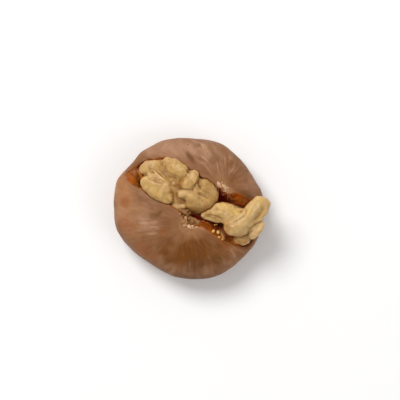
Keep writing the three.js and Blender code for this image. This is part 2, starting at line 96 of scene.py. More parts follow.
# Lobes of the two pieces of kernel: each lobe is a chain of (x, y, z, radius).
LEFT_LOBES = {
    "a1_1": [(-17.03, 14.2, 19.96, 1.93), (-15.62, 15.53, 20.17, 1.99), (-13.78, 15.99, 20.41, 1.73)],
    "a1_2": [(-11.88, 15.93, 20.22, 1.66), (-10.6, 13.92, 20.43, 1.6)],
    "a3_1": [(-8.2, 16.8, 20.38, 2.13), (-5.92, 14.91, 21.08, 3.19), (-3.58, 13.64, 21.39, 2.86)],
    "a4_1": [(1.15, 12.24, 21.59, 1.99), (0.36, 9.96, 22.66, 2.39), (-0.9, 8.49, 23.4, 1.99)],
    "a4_2": [(-1.31, 11.63, 21.97, 1.46), (-1.51, 9.96, 22.42, 1.73), (-1.9, 8.83, 22.71, 1.53)],
    "body_4": [(-9.6, 11.85, 20.74, 1.46), (-7.27, 9.86, 20.08, 1.99), (-4.66, 9.09, 20.14, 2.19), (-2.42, 9.42, 20.49, 1.93)],
    "body_5": [(-7.26, 7.25, 20.56, 1.46), (-5.77, 5.18, 19.96, 1.53), (-4.41, 2.4, 19.44, 1.33)],
    "body_6": [(-13.78, 14.53, 20.25, 1.33), (-11.86, 12.72, 20.88, 1.46), (-9.98, 10.84, 21.22, 1.46), (-8.32, 9.18, 20.86, 1.4)],
    "body_7": [(2.42, 6.4, 22.35, 1.33), (3.92, 6.17, 21.63, 1.53), (5.82, 4.91, 20.92, 1.53)],
    "a45_1": [(3.15, 9.85, 20.76, 1.2), (2.42, 8.37, 21.42, 1.26), (1.49, 7.1, 22.28, 1.06)],
    "a5_1": [(5.02, 9.11, 20.96, 1.93), (6.76, 7.51, 20.31, 2.19), (7.76, 5.58, 19.85, 2.19)],
    "a6_1": [(-3.39, 5.37, 23.61, 1.56), (-1.3, 5.17, 23.23, 1.93), (1.09, 4.57, 22.6, 2.19)],
    "a6_2": [(0.92, 2.57, 21.19, 3.06), (3.42, 2.04, 20.56, 3.06), (5.76, 2.71, 20.15, 2.79), (7.77, 4.04, 19.61, 2.33)],
    "a7_1": [(-16.68, 9.72, 20.56, 1.73), (-15.08, 7.95, 20.37, 2.53), (-12.74, 6.31, 20.54, 2.92), (-10.39, 4.91, 20.94, 2.79), (-8.44, 3.64, 21.54, 2.13)],
    "a7_3": [(-13.73, 9.07, 22.07, 1.53), (-11.22, 7.63, 22.41, 1.99), (-9.06, 6.57, 22.59, 1.93), (-7.76, 4.9, 22.52, 1.33)],
    "a7_8": [(-14.98, 11.84, 21.32, 1.53), (-12.83, 11.1, 22.18, 1.66), (-10.68, 10.16, 22.7, 1.53), (-8.88, 9.06, 22.81, 1.33)],
    "a9_1": [(-6.28, 1.03, 19.54, 1.33), (-4.54, 0.7, 19.5, 1.46)],
    "a9_2": [(-2.78, 0.77, 21.07, 0.66)],
    "body_11": [(-13.46, 12.95, 16.8, 3.63), (-4.64, 8.43, 16.8, 4.35), (3.5, 4.23, 16.6, 3.99)],
    "body_12": [(-11.21, 15.13, 17.2, 2.9), (-2.78, 12.41, 17.6, 3.26), (4.72, 7.7, 17.4, 2.9)],
    "body_13": [(-13.84, 9.49, 17.2, 2.9), (-6.34, 4.78, 17.4, 3.26), (2.6, 1.42, 17.4, 3.26)],
    "body_14": [(-13.31, 10.45, 19.6, 2.36), (-5.53, 6.42, 19.8, 2.36), (2.05, 3.69, 19.6, 2.18)],
    "body_15": [(-10.45, 13.14, 19.6, 2.36), (-3.83, 10.06, 19.8, 2.36), (3.08, 7.64, 19.6, 2.36)],
    "ua1_1": [(-16.35, 13.8, 17.24, 1.83), (-14.7, 15.13, 17.03, 1.89), (-13.23, 15.59, 16.79, 1.64)],
    "ua3_1": [(-7.87, 16.4, 16.82, 2.02), (-5.38, 14.51, 16.12, 3.03), (-3.44, 13.24, 15.81, 2.72)],
    "ua4_1": [(1.1, 11.84, 15.61, 1.89), (0.65, 9.56, 14.54, 2.27), (-0.86, 8.09, 13.8, 1.89)],
    "ua5_1": [(4.82, 8.71, 16.24, 1.83), (6.79, 7.11, 16.89, 2.08), (7.45, 5.18, 17.35, 2.08)],
    "ua6_2": [(0.88, 2.17, 16.01, 2.91), (3.58, 1.64, 16.64, 2.91), (5.53, 2.31, 17.05, 2.65), (7.76, 3.64, 17.59, 2.21)],
    "ua7_1": [(-16.01, 9.32, 16.64, 1.64), (-14.18, 7.55, 16.83, 2.4), (-12.23, 5.91, 16.66, 2.77), (-9.67, 4.51, 16.26, 2.65), (-8.1, 3.24, 15.66, 2.02)],
    "ua7_3": [(-13.18, 8.67, 15.13, 1.45), (-10.47, 7.23, 14.79, 1.89), (-8.7, 6.17, 14.61, 1.83), (-7.15, 4.5, 14.68, 1.26)],
    "body_32": [(-6.27, 3.91, 20, 1.13), (-4.43, 2.91, 20.1, 1.2), (-2.93, 3.24, 20.2, 1.2), (-2.33, 1.9, 19.8, 1.13)],
}
RIGHT_LOBES = {
    "b1_1": [(24.53, 2.76, 21.7, 1.87), (22.85, 0.52, 22.1, 2.3), (20.48, -2.51, 22.3, 2.54), (18.16, -5.12, 21.9, 2.72), (15.01, -6.84, 20.4, 2.96)],
    "b1_2": [(27.23, 1.78, 20.9, 1.81), (26.72, -0.67, 20.7, 1.72), (24.96, -3.31, 20.6, 1.63), (22.75, -5.84, 20.4, 1.69), (19.88, -7.51, 20.2, 1.81), (17.61, -8.06, 19.8, 2.24)],
    "b1_3": [(25.79, 2.21, 21.1, 1.69), (24.25, -1.28, 20.9, 1.75), (21.83, -4.31, 20.9, 1.81)],
    "b2_1": [(25.84, -6, 19.8, 1.33), (24.58, -7.46, 19.5, 1.69), (23.38, -9.05, 19, 1.69), (23.03, -10.28, 18.4, 1.09)],
    "b3_1": [(4.45, -2.05, 19.4, 0.85), (6.82, -1.65, 19.8, 1.63), (9.4, -0.95, 20.4, 2.12), (11.98, -0.83, 20.6, 2.54), (14.4, -1.43, 20.6, 2.54), (16.82, -1.79, 20.9, 2.05), (18.49, -1.19, 20.9, 1.45)],
    "b3_2": [(9.98, 0.48, 20.4, 1.33), (11.82, 0.81, 20.8, 1.39), (14.4, 0.27, 20.7, 1.39)],
    "b3_3": [(5.37, -3.15, 18.9, 0.85), (7.59, -3.79, 19, 1.12), (9.93, -4.09, 19.3, 1.21)],
    "b3_4": [(12.44, -3.8, 20.1, 1.39), (14.71, -4.1, 20.6, 1.39)],
    "b1_4": [(17.75, -11.64, 17.7, 1.39), (19.03, -11.85, 17.6, 1.72), (20.31, -11.67, 17.7, 1.42)],
    "body_21": [(14.14, -2.06, 18.4, 1.87), (19.01, -4.49, 18.5, 2.12), (23.26, -2.05, 18.8, 1.81)],
    "b5_1": [(14.79, -6.41, 16.4, 2.18), (18.47, -8.26, 15.8, 2.42), (21.77, -6.79, 15.8, 2.42), (23.97, -3.85, 16, 2.42)],
    "body": [(10.4, -1.29, 14.8, 3.26), (15.18, -2.76, 15, 4.35), (19.58, -4.59, 15.4, 4.2), (23.97, -2.02, 16, 3.26)],
    "body_31": [(17.21, -10.79, 17.3, 1.21), (19.05, -11.23, 17.1, 1.51), (20.62, -10.73, 17.5, 1.39), (21.52, -9.56, 17.9, 1.27), (21.91, -8.46, 18.3, 1.21)],
}

# Ridges and furrows of their upper sides: half width, height, points on the plan.
LEFT_LINES = [
    (0.42, 0.3, [(-12.64, 14.52), (-10.79, 12.8), (-8.86, 10.87)]),
    (0.42, 0.34, [(-13.57, 14.12), (-11.78, 12.4), (-9.03, 9.81)]),
    (0.3, -0.22, [(-12.98, 14.19), (-11.12, 12.33), (-9.13, 10.47)]),
    (0.5, -0.2, [(-11.98, 14.86), (-10.12, 13), (-8.26, 11.34)]),
    (0.36, -0.2, [(-14.04, 13.59), (-12.31, 11.74), (-9.92, 9.41)]),
    (0.7, -0.3, [(-17.82, 12.13), (-16.56, 12.13), (-15.5, 12.73)]),
    (0.4, -0.22, [(-15.83, 11.04), (-14.17, 10.34), (-12.18, 9.41), (-10.35, 8.95)]),
    (0.9, -0.18, [(-9.99, 18.24), (-9.86, 16.02), (-9.52, 13.86), (-7.37, 12.13)]),
    (0.6, 0.34, [(0.76, 7.29), (2.76, 6.43), (4.91, 5.36), (7.24, 4.17)]),
    (0.5, -0.14, [(2.42, 5.7), (4.75, 4.63), (6.9, 3.44)]),
    (0.55, 0.18, [(1.1, 6.49), (2.76, 4.9), (4.75, 3.24)]),
    (0.8, -0.16, [(-7.33, 17.91), (-7.47, 15.52), (-7.13, 13.03)]),
    (0.8, -0.16, [(-4.88, 17.18), (-4.68, 14.52), (-4.55, 12.03)]),
    (0.7, -0.34, [(-0.7, 14.52), (-0.9, 12.86), (-1.56, 11.37)]),
    (0.55, -0.35, [(2.95, 11.2), (2.56, 9.38), (1.26, 7.75)]),
    (0.5, -0.25, [(3.55, 10.54), (3.02, 8.82), (4.02, 6.82)]),
    (0.5, -0.3, [(-3.02, 3.24), (-1.89, 3.9), (-1.29, 4.63)]),
    (0.7, -0.18, [(1.43, 5.89), (3.49, 4.17), (6.07, 1.65)]),
    (0.7, -0.16, [(2.76, 1.91), (3.42, 0.58), (3.58, -0.74)]),
    (0.6, -0.22, [(-9.92, 6.23), (-8.13, 5.76), (-6.21, 6.03)]),
    (0.9, -0.2, [(-12.91, 8.88), (-11.78, 7.49), (-12.18, 5.89)]),
    (0.8, -0.18, [(-15.5, 9.55), (-15.17, 7.89), (-15.5, 6.23)]),
    (0.6, -0.22, [(-15.5, 14.19), (-14.3, 15.45), (-13.84, 17.05)]),
    (0.6, 0.18, [(-14.63, 17.31), (-14.44, 15.85), (-14.83, 14.52)]),
    (0.5, 0.35, [(-6.37, 9.55), (-5.87, 9.05), (-5.38, 8.48)]),
    (0.9, 0.45, [(-1.23, 13.69), (-1.69, 11.54), (-2.16, 9.55), (-2.39, 8.15)]),
    (0.6, -0.18, [(5.74, 9.88), (7.07, 7.89), (7.73, 5.89)]),
]
RIGHT_LINES = [
    (0.5, -0.35, [(18.9, 1), (20.18, -0.81), (19.27, -2.99), (17.09, -4.5), (14.97, -5.41)]),
    (0.95, -0.4, [(27.01, 1), (25.71, -1.27), (24.29, -3.38), (22.84, -4.9)]),
    (0.9, 0.2, [(25.11, 3.88), (23.14, 1.76), (21.32, -0.96), (19.81, -3.54), (17.7, -5.65)]),
    (0.5, -0.35, [(26.35, -4.5), (24.11, -5.65), (22.59, -7.16), (21.48, -8.74)]),
    (0.4, -0.4, [(4.51, -2.33), (7.41, -2.81), (9.89, -3.23), (11.34, -4.14)]),
    (0.7, -0.3, [(11.04, 2.21), (12.1, -0.06), (11.71, -2.08)]),
    (0.7, -0.3, [(14.07, 1.3), (14.73, -1.05), (16.18, -2.45)]),
    (0.6, -0.25, [(8.68, 0.03), (11.04, -0.99), (13.22, -2.51)]),
    (0.6, -0.25, [(16.18, 0.7), (17.09, -0.81), (18.9, -1.12)]),
    (0.9, -0.12, [(14.67, -8.98), (16.49, -7.47), (17.7, -6.56)]),
]

# --------------------------------------------------------------------- helpers
def smooth(a, b, x):
    t = np.clip((np.asarray(x, float) - a) / (b - a), 0.0, 1.0)
    return t * t * (3 - 2 * t)


def lin(r, g, b):
    """a colour given as 0-255 display values, as the linear colour of a shader"""
    out = []
    for v in (r, g, b):
        c = v / 255.0
        out.append(c / 12.92 if c <= 0.04045 else ((c + 0.055) / 1.055) ** 2.4)
    return (*out, 1.0)


def lit(r, g, b):
    """the surface colour that looks like this display colour in the light of this studio"""
    return (*(max((c - 0.016) / LIGHT, 0.0025) for c in lin(r, g, b)[:3]), 1.0)


def _hash(i, j, k, seed):
    n = (i * 73856093) ^ (j * 19349663) ^ (k * 83492791) ^ (seed * 668265263 + 12345)
    n &= 0xFFFFFFFF
    n = ((n ^ (n >> 15)) * 739982445) & 0xFFFFFFFF
    n = ((n ^ (n >> 12)) * 695872825) & 0xFFFFFFFF
    return n ^ (n >> 15)


def noise(p, seed=0):
    """smooth gradient noise, about -1 to 1, at an (n, 3) array of points"""
    p = np.asarray(p, float)
    i = np.floor(p).astype(np.int64)
    f = p - i
    u = f * f * f * (f * (f * 6 - 15) + 10)
    out = np.zeros(len(p))
    for dx in (0, 1):
        wx = u[:, 0] if dx else 1 - u[:, 0]
        for dy in (0, 1):
            wy = u[:, 1] if dy else 1 - u[:, 1]
            for dz in (0, 1):
                wz = u[:, 2] if dz else 1 - u[:, 2]
                h = _hash(i[:, 0] + dx, i[:, 1] + dy, i[:, 2] + dz, seed)
                g = ((h & 1023) / 511.5 - 1) * (f[:, 0] - dx)
                g += (((h >> 10) & 1023) / 511.5 - 1) * (f[:, 1] - dy)
                g += (((h >> 20) & 1023) / 511.5 - 1) * (f[:, 2] - dz)
                out += wx * wy * wz * g
    return out * 1.5


def fbm(p, octaves=3, seed=0, gain=0.5):
    out, amp, total, q = 0.0, 1.0, 0.0, np.asarray(p, float)
    for o in range(octaves):
        out = out + amp * noise(q, seed + 17 * o)
        total += amp
        amp *= gain
        q = q * 2.03 + 7.1
    return out / total


def cells(p, seed=0):
    """distance to the nearest and second nearest of one random point per unit cube"""
    p = np.asarray(p, float)
    i = np.floor(p).astype(np.int64)
    one = np.full(len(p), 9.0)
    two = np.full(len(p), 9.0)
    for dx in (-1, 0, 1):
        for dy in (-1, 0, 1):
            for dz in (-1, 0, 1):
                c = i + np.array([dx, dy, dz])
                h = _hash(c[:, 0], c[:, 1], c[:, 2], seed)
                q = c + np.stack([(h & 1023) / 1023, ((h >> 10) & 1023) / 1023, ((h >> 20) & 1023) / 1023], 1)
                d = np.sqrt(((p - q) ** 2).sum(1))
                two = np.minimum(two, np.maximum(one, d))
                one = np.minimum(one, d)
    return one, two


def catmull(p0, p1, p2, p3, t):
    return 0.5 * (2 * p1 + (p2 - p0) * t + (2 * p0 - 5 * p1 + 4 * p2 - p3) * t * t
                  + (3 * p1 - p0 - 3 * p2 + p3) * t ** 3)


def vertex_normals(co, quads, tris=None):
    n = np.zeros_like(co)
    a, b, c, d = (co[quads[:, k]] for k in range(4))
    fn = np.cross(c - a, d - b)
    for k in range(4):
        for ax in range(3):
            n[:, ax] += np.bincount(quads[:, k], fn[:, ax], len(co))
    if tris is not None and len(tris):
        a, b, c = (co[tris[:, k]] for k in range(3))
        fn = np.cross(b - a, c - a)
        for k in range(3):
            for ax in range(3):
                n[:, ax] += np.bincount(tris[:, k], fn[:, ax], len(co))
    return n / np.maximum(np.linalg.norm(n, axis=1, keepdims=True), 1e-12)


class Parts:
    """several closed shapes gathered into one mesh, with point attributes"""

    def __init__(self):
        self.co, self.faces, self.mats, self.attrs, self.count = [], [], [], {}, 0

    def add(self, co, faces, material, **attrs):
        self.co.append(np.asarray(co, float))
        for f in faces:
            f = np.asarray(f, np.int64)
            if len(f):
                self.faces.append(f + self.count)
                self.mats.append(np.full(len(f), material))
        n = len(co)
        for key in set(self.attrs) | set(attrs):
            value = attrs.get(key, 0.0)
            if key not in self.attrs:
                self.attrs[key] = [np.zeros((self.count, 3) if np.ndim(value) == 2 else self.count)]
            if key in attrs:
                self.attrs[key].append(np.broadcast_to(np.asarray(value, float), (n, 3) if np.ndim(value) == 2 else (n,)))
            else:
                self.attrs[key].append(np.zeros((n,) + self.attrs[key][0].shape[1:]))
        self.count += n

    def build(self, name, materials):
        co = np.concatenate(self.co)
        me = bpy.data.meshes.new(name)
        me.vertices.add(len(co))
        me.vertices.foreach_set("co", (co * MM).astype(np.float32).ravel())
        sizes = np.concatenate([np.full(len(f), f.shape[1]) for f in self.faces])
        loops = np.concatenate([f.ravel() for f in self.faces])
        me.loops.add(len(loops))
        me.loops.foreach_set("vertex_index", loops.astype(np.int32))
        me.polygons.add(len(sizes))
        me.polygons.foreach_set("loop_start", np.concatenate([[0], np.cumsum(sizes)[:-1]]).astype(np.int32))
        me.polygons.foreach_set("loop_total", sizes.astype(np.int32))
        me.polygons.foreach_set("material_index", np.concatenate(self.mats).astype(np.int32))
        me.polygons.foreach_set("use_smooth", np.ones(len(sizes), bool))
        me.update(calc_edges=True)
        me.validate()
        for key, values in self.attrs.items():
            v = np.concatenate(values)
            if v.ndim == 2:
                me.attributes.new(key, "FLOAT_VECTOR", "POINT").data.foreach_set("vector", v.astype(np.float32).ravel())
            else:
                me.attributes.new(key, "FLOAT", "POINT").data.foreach_set("value", v.astype(np.float32))
        for m in materials:
            me.materials.append(m)
        o = bpy.data.objects.new(name, me)
        bpy.context.scene.collection.objects.link(o)
        print(name, len(co), "points", int((sizes - 2).sum()), "triangles")
        return o


def ball(level):
    """an icosphere as points and triangles"""
    t = (1 + 5 ** 0.5) / 2
    v = [(-1, t, 0), (1, t, 0), (-1, -t, 0), (1, -t, 0), (0, -1, t), (0, 1, t), (0, -1, -t), (0, 1, -t),
         (t, 0, -1), (t, 0, 1), (-t, 0, -1), (-t, 0, 1)]
    f = [(0, 11, 5), (0, 5, 1), (0, 1, 7), (0, 7, 10), (0, 10, 11), (1, 5, 9), (5, 11, 4), (11, 10, 2), (10, 7, 6),
         (7, 1, 8), (3, 9, 4), (3, 4, 2), (3, 2, 6), (3, 6, 8), (3, 8, 9), (4, 9, 5), (2, 4, 11), (6, 2, 10),
         (8, 6, 7), (9, 8, 1)]
    v = [np.array(p, float) / np.linalg.norm(p) for p in v]
    for _ in range(level):
        cache, g = {}, []
        def mid(a, b):
            key = (min(a, b), max(a, b))
            if key not in cache:
                m = v[a] + v[b]
                v.append(m / np.linalg.norm(m))
                cache[key] = len(v) - 1
            return cache[key]
        for a, b, c in f:
            ab, bc, ca = mid(a, b), mid(b, c), mid(c, a)
            g += [(a, ab, ca), (b, bc, ab), (c, ca, bc), (ab, bc, ca)]
        f = g
    return np.array(v), np.array(f)


BALLS = {k: ball(k) for k in (1, 2, 3)}


def frame_of(direction):
    d = np.asarray(direction, float)
    d = d / np.linalg.norm(d)
    s = np.cross(d, [0, 0, 1.0]) if abs(d[2]) < 0.9 else np.cross(d, [1.0, 0, 0])
    s /= np.linalg.norm(s)
    return np.stack([d, s, np.cross(d, s)])


def blob(centre, radii, direction, level=2, rough=0.0, seed=0):
    v, f = BALLS[level]
    k = 1 + rough * noise(v * 1.7 + seed * 3.1, seed)[:, None]
    return (v * k * np.asarray(radii)) @ frame_of(direction) + centre, f


# ------------------------------------------------------------- nut surfaces
def chain_distance(P, chain):
    best = np.full(len(P), 1e9)
    c = np.asarray(chain, float)
    for a, b in zip(c[:-1], c[1:]) if len(c) > 1 else [(c[0], c[0])]:
        ab = b[:3] - a[:3]
        l = float(ab @ ab)
        t = np.clip(((P - a[:3]) @ ab) / l, 0, 1) if l > 0 else np.zeros(len(P))
        q = P - a[:3] - t[:, None] * ab
        best = np.minimum(best, np.sqrt((q * q).sum(1)) - (a[3] + t * (b[3] - a[3])))
    return best


def soft_min(d, e, k):
    h = np.maximum(k - np.abs(d - e), 0) / k
    return np.minimum(d, e) - h * h * k * 0.25


CREASE = 0.85          # how softly the lobes of a nut run together, in millimetres


def nut_distance(P, lobes):
    """lobes named alike up to the underscore run softly into each other, the rest meet in a crease"""
    groups = {}
    for name, chain in lobes.items():
        key = "body" if name[0] == "u" else name.split("_")[0]
        e = chain_distance(P, chain)
        groups[key] = e if key not in groups else soft_min(groups[key], e, 1.6)
    d = None
    for key, e in groups.items():
        d = e if d is None else soft_min(d, e, CREASE * (1.7 if key == "body" else 1.0))
    return d


def surface_nets(f, low, h):
    """one point in each cube that the surface f = 0 crosses, joined by quads"""
    shape = tuple(s - 1 for s in f.shape)
    acc, cnt, crossing = np.zeros(shape + (3,)), np.zeros(shape), []
    for ax in range(3):
        lo = [slice(None)] * 3
        hi = [slice(None)] * 3
        lo[ax], hi[ax] = slice(0, -1), slice(1, None)
        a, b = f[tuple(lo)], f[tuple(hi)]
        cross = (a < 0) != (b < 0)
        crossing.append((cross, a < 0))
        t = np.where(cross, a / np.where(cross, a - b, 1.0), 0.0)
        u, v = [(ax + 1) % 3, (ax + 2) % 3]
        for du in (0, 1):
            for dv in (0, 1):
                sl = [slice(None)] * 3
                sl[u] = slice(du, du + shape[u])
                sl[v] = slice(dv, dv + shape[v])
                c = cross[tuple(sl)]
                acc[..., ax] += t[tuple(sl)]
                acc[..., u] += c * du
                acc[..., v] += c * dv
                cnt += c
    active = cnt > 0
    index = np.full(shape, -1, np.int64)
    index[active] = np.arange(int(active.sum()))
    ijk = np.argwhere(active)
    pts = low + h * (ijk + acc[active] / cnt[active][:, None])
    quads = []
    for ax in range(3):
        cross, inside = crossing[ax]
        u, v = (ax + 1) % 3, (ax + 2) % 3
        w = np.argwhere(cross)
        w = w[(w[:, u] > 0) & (w[:, v] > 0) & (w[:, u] < shape[u]) & (w[:, v] < shape[v])]
        eu, ev = np.eye(3, dtype=int)[u], np.eye(3, dtype=int)[v]
        q = np.stack([index[tuple((w - eu - ev).T)], index[tuple((w - ev).T)], index[tuple(w.T)], index[tuple((w - eu).T)]], 1)
        flip = ~inside[tuple(w.T)]
        q[flip] = q[flip][:, ::-1]
        quads.append(q)
    return pts, np.concatenate(quads)


def relax(co, quads, times, amount=0.5):
    """moves every point towards the mean of its neighbours"""
    a = quads.ravel()
    b = np.roll(quads, -1, 1).ravel()
    n = np.bincount(a, minlength=len(co)) + np.bincount(b, minlength=len(co))
    for _ in range(times):
        s = np.stack([np.bincount(a, co[b, k], len(co)) + np.bincount(b, co[a, k], len(co)) for k in range(3)], 1)
        co = co + amount * (s / np.maximum(n, 1)[:, None] - co)
    return co


def warp(P, seed):
    """the small wander that keeps the lobes from looking turned"""
    w = np.stack([noise(P * 0.30 + 11.3 * k, seed + k) for k in range(3)], 1) * 0.26
    return P + w + np.stack([noise(P * 0.75 + 5.7 * k, seed + 5 + k) for k in range(3)], 1) * 0.13


def drawn(co, nor, lines):
    """how far each point stands out or in along the drawn ridges and furrows"""
    out = np.zeros(len(co))
    up = smooth(0.05, 0.5, nor[:, 2])
    wander = np.stack([noise(co * 0.9, 301), noise(co * 0.9, 302)], 1) * 0.14
    p = co[:, :2] + wander
    for width, height, points in lines:
        q = np.asarray(points, float)
        seg = np.linalg.norm(np.diff(q, axis=0), axis=1)
        start = np.concatenate([[0], np.cumsum(seg)])
        best, along = np.full(len(p), 1e9), np.zeros(len(p))
        for k in range(len(q) - 1):
            v = (q[k + 1] - q[k]) / seg[k]
            t = np.clip((p - q[k]) @ v, 0, seg[k])
            d = np.linalg.norm(p - q[k] - t[:, None] * v, axis=1)
            near = d < best
            best = np.where(near, d, best)
            along = np.where(near, (start[k] + t) / start[-1], along)
        fade = smooth(-0.02, 0.22, along) * (1 - smooth(0.78, 1.02, along))
        out += height * fade * np.exp(-(best / width) ** 2)
    return out * up


def make_nut(lobes, lines, seed, h, crumbly=None):
    pts = np.array([p for c in lobes.values() for p in c])
    low = (pts[:, :3] - pts[:, 3:]).min(0) - 1.3
    high = (pts[:, :3] + pts[:, 3:]).max(0) + 1.3
    n = np.ceil((high - low) / h).astype(int) + 1
    grid = np.stack(np.meshgrid(*[np.arange(k) for k in n], indexing="ij"), -1).reshape(-1, 3) * h + low
    f = nut_distance(warp(grid, seed), lobes).reshape(n)
    co, quads = surface_nets(f, low, h)
    co = relax(co, quads, 3, 0.4)
    nor = vertex_normals(co, quads)
    # how deep a point lies between the lobes; the material paints these hollows darker as painted shade
    far = nut_distance(warp(co + nor * 2.2, seed), lobes) / 2.2
    hollow = np.clip(1 - far, 0, 1)
    co = relax(co + nor * drawn(co, nor, lines)[:, None], quads, 3, 0.4)
    nor = vertex_normals(co, quads)
    # wrinkled skin: soft swells, thin veins in relief, shallow creases
    open_ = 1 - hollow
    swell = fbm(co * 0.42, 3, seed + 31)
    vein = np.clip((1 - np.abs(noise(co * 0.75 + 2.2 * swell[:, None], seed + 41)) - 0.84) / 0.16, 0, 1)
    fold = 1 - smooth(0.0, 0.20, np.abs(noise(co * np.array([0.50, 0.50, 0.35]) + 0.6 * swell[:, None], seed + 71)))
    d = 0.22 * swell + 0.03 * vein - 0.07 * fold * open_ + 0.012 * fbm(co * 2.2, 3, seed + 51)
    chip = np.zeros(len(co))
    if crumbly is not None:
        broken = crumbly(co)
        q = co * 0.62 + 0.35 * noise(co * 0.9, seed + 81)[:, None]
        one, two = cells(q * 0.8, seed + 82)
        facet = np.clip(two - one, 0, 0.5) / 0.5
        chip = broken * (1 - smooth(0.0, 0.22, facet)) * smooth(-0.3, 0.3, noise(co * 0.5, seed + 85))
        d += broken * (0.05 * (facet - 0.6) + 0.55 * fbm(co * 0.45, 3, seed + 83) + 0.05 * fbm(co * 1.5, 2, seed + 84))
    co = co + nor * d[:, None]
    # crests and creases, from how far a point stands out of the smoothed surface; the material paints the crests
    # lighter as painted highlight and the creases darker as painted shade
    nor = vertex_normals(co, quads)
    fine = ((co - relax(co, quads, 8)) * nor).sum(1)
    broad = ((co - relax(co, quads, 60)) * nor).sum(1)
    crest = smooth(0.0, 0.075, fine) * 0.5 + smooth(0.05, 0.55, broad) * 0.5
    crease = np.clip(smooth(0.0, 0.10, -fine) * 0.55 + smooth(0.02, 0.50, -broad) * 0.85, 0, 1)
    if crumbly is not None:
        crease *= 1 - 0.7 * broken
    return dict(co=co, quads=quads, hollow=hollow, crest=crest, crease=crease, vein=vein, chip=chip)


# --------------------------------------------------------------------- the fig
def rings():
    """control points, (columns, rings, 3), from the pocket floor over the lip to the stem"""
    n = len(COLUMNS)
    lip, wide = COLUMNS[:, 0:3], COLUMNS[:, 3:6]
    along = np.roll(lip, -1, 0)[:, :2] - np.roll(lip, 1, 0)[:, :2]
    along /= np.linalg.norm(along, axis=1, keepdims=True)
    inward = np.stack([-along[:, 1], along[:, 0]], 1)
    out = []
    def ring(xy, z):
        out.append(np.concatenate([xy, np.broadcast_to(np.asarray(z, float), (n,))[:, None]], 1))
    low = np.minimum(POCKET_FLOOR, lip[:, 2] - 1.8)
    depth = np.minimum(WALL_DEPTH, (lip[:, 2] - low) * 0.55)
    at = lambda k: POCKET_CENTRE + k * (lip[:, :2] - POCKET_CENTRE)
    ring(at(0.3), POCKET_FLOOR - 0.4)
    ring(at(0.62), (POCKET_FLOOR + low) / 2 - 0.2)
    ring(at(0.86) + inward * COLUMNS[:, 7:8] * 0.4, low + 0.12 * (lip[:, 2] - low))
    ring(lip[:, :2] + inward * COLUMNS[:, 7:8], lip[:, 2] - depth)
    ring(lip[:, :2] + inward * COLUMNS[:, 6:7], lip[:, 2] - np.minimum(LIP_ROUND, depth * 0.4))
    ring(lip[:, :2], lip[:, 2])
    for f in (0.06, 0.2, 0.4, 0.6, 0.78, 0.91, 0.98):
        ring(lip[:, :2] + f * (wide[:, :2] - lip[:, :2]),
             wide[:, 2] + (lip[:, 2] - wide[:, 2]) * (1 - f ** DOME_POWER) ** (1 / DOME_POWER))
    ring(wide[:, :2], wide[:, 2])
    under = lambda k: BASE_CENTRE + k * (wide[:, :2] - BASE_CENTRE)
    for k, z in ((0.985, 0.66), (0.935, 0.33), (0.85, 0.1), (0.75, 0), (0.52, 0), (0.3, 0)):
        ring(under(k), wide[:, 2] * z)
    away = wide[:, :2] - BASE_CENTRE
    away /= np.linalg.norm(away, axis=1, keepdims=True)
    for r, z in ((STEM_DIMPLE_RADIUS, STEM_DIMPLE_DEPTH * 0.35), ((STEM_DIMPLE_RADIUS + STEM_RADIUS) / 2, STEM_DIMPLE_DEPTH),
                 (STEM_RADIUS, STEM_DIMPLE_DEPTH * 0.7), (STEM_RADIUS * 0.8, STEM_TIP_HEIGHT)):
        ring(BASE_CENTRE + r * away, z)
    return np.stack(out, 1)


LIP = 5            # the ring of the lip
WIDEST = 13
STEPS = (5, 6, 9, 13, 5, 4, 6, 9, 9, 9, 8, 7, 7, 8, 8, 8, 7, 9, 8, 7, 3, 3, 3)
AROUND = 500


def loft():
    ctrl = rings()
    n, m = ctrl.shape[:2]
    u = np.arange(AROUND) / AROUND * n
    i = np.floor(u).astype(int)
    t = (u - i)[:, None, None]
    dense = catmull(ctrl[(i - 1) % n], ctrl[i % n], ctrl[(i + 1) % n], ctrl[(i + 2) % n], t)
    rows, where = [], []
    for j in range(m - 1):
        for s in range(STEPS[j]):
            t = s / STEPS[j]
            q = [dense[:, k] for k in (max(j - 1, 0), j, j + 1, min(j + 2, m - 1))]
            rows.append(catmull(*q, t))
            where.append(j + t)
    rows.append(dense[:, m - 1])
    where.append(float(m - 1))
    return np.stack(rows, 1), np.array(where), u     # (around, rows, 3)


def grid_quads(around, rows):
    k = np.arange(around)[:, None]
    j = np.arange(rows - 1)[None, :]
    a = (k * rows + j).ravel()
    b = (k * rows + j + 1).ravel()
    c = (((k + 1) % around) * rows + j + 1).ravel()
    d = (((k + 1) % around) * rows + j).ravel()
    return np.stack([a, b, c, d], 1)


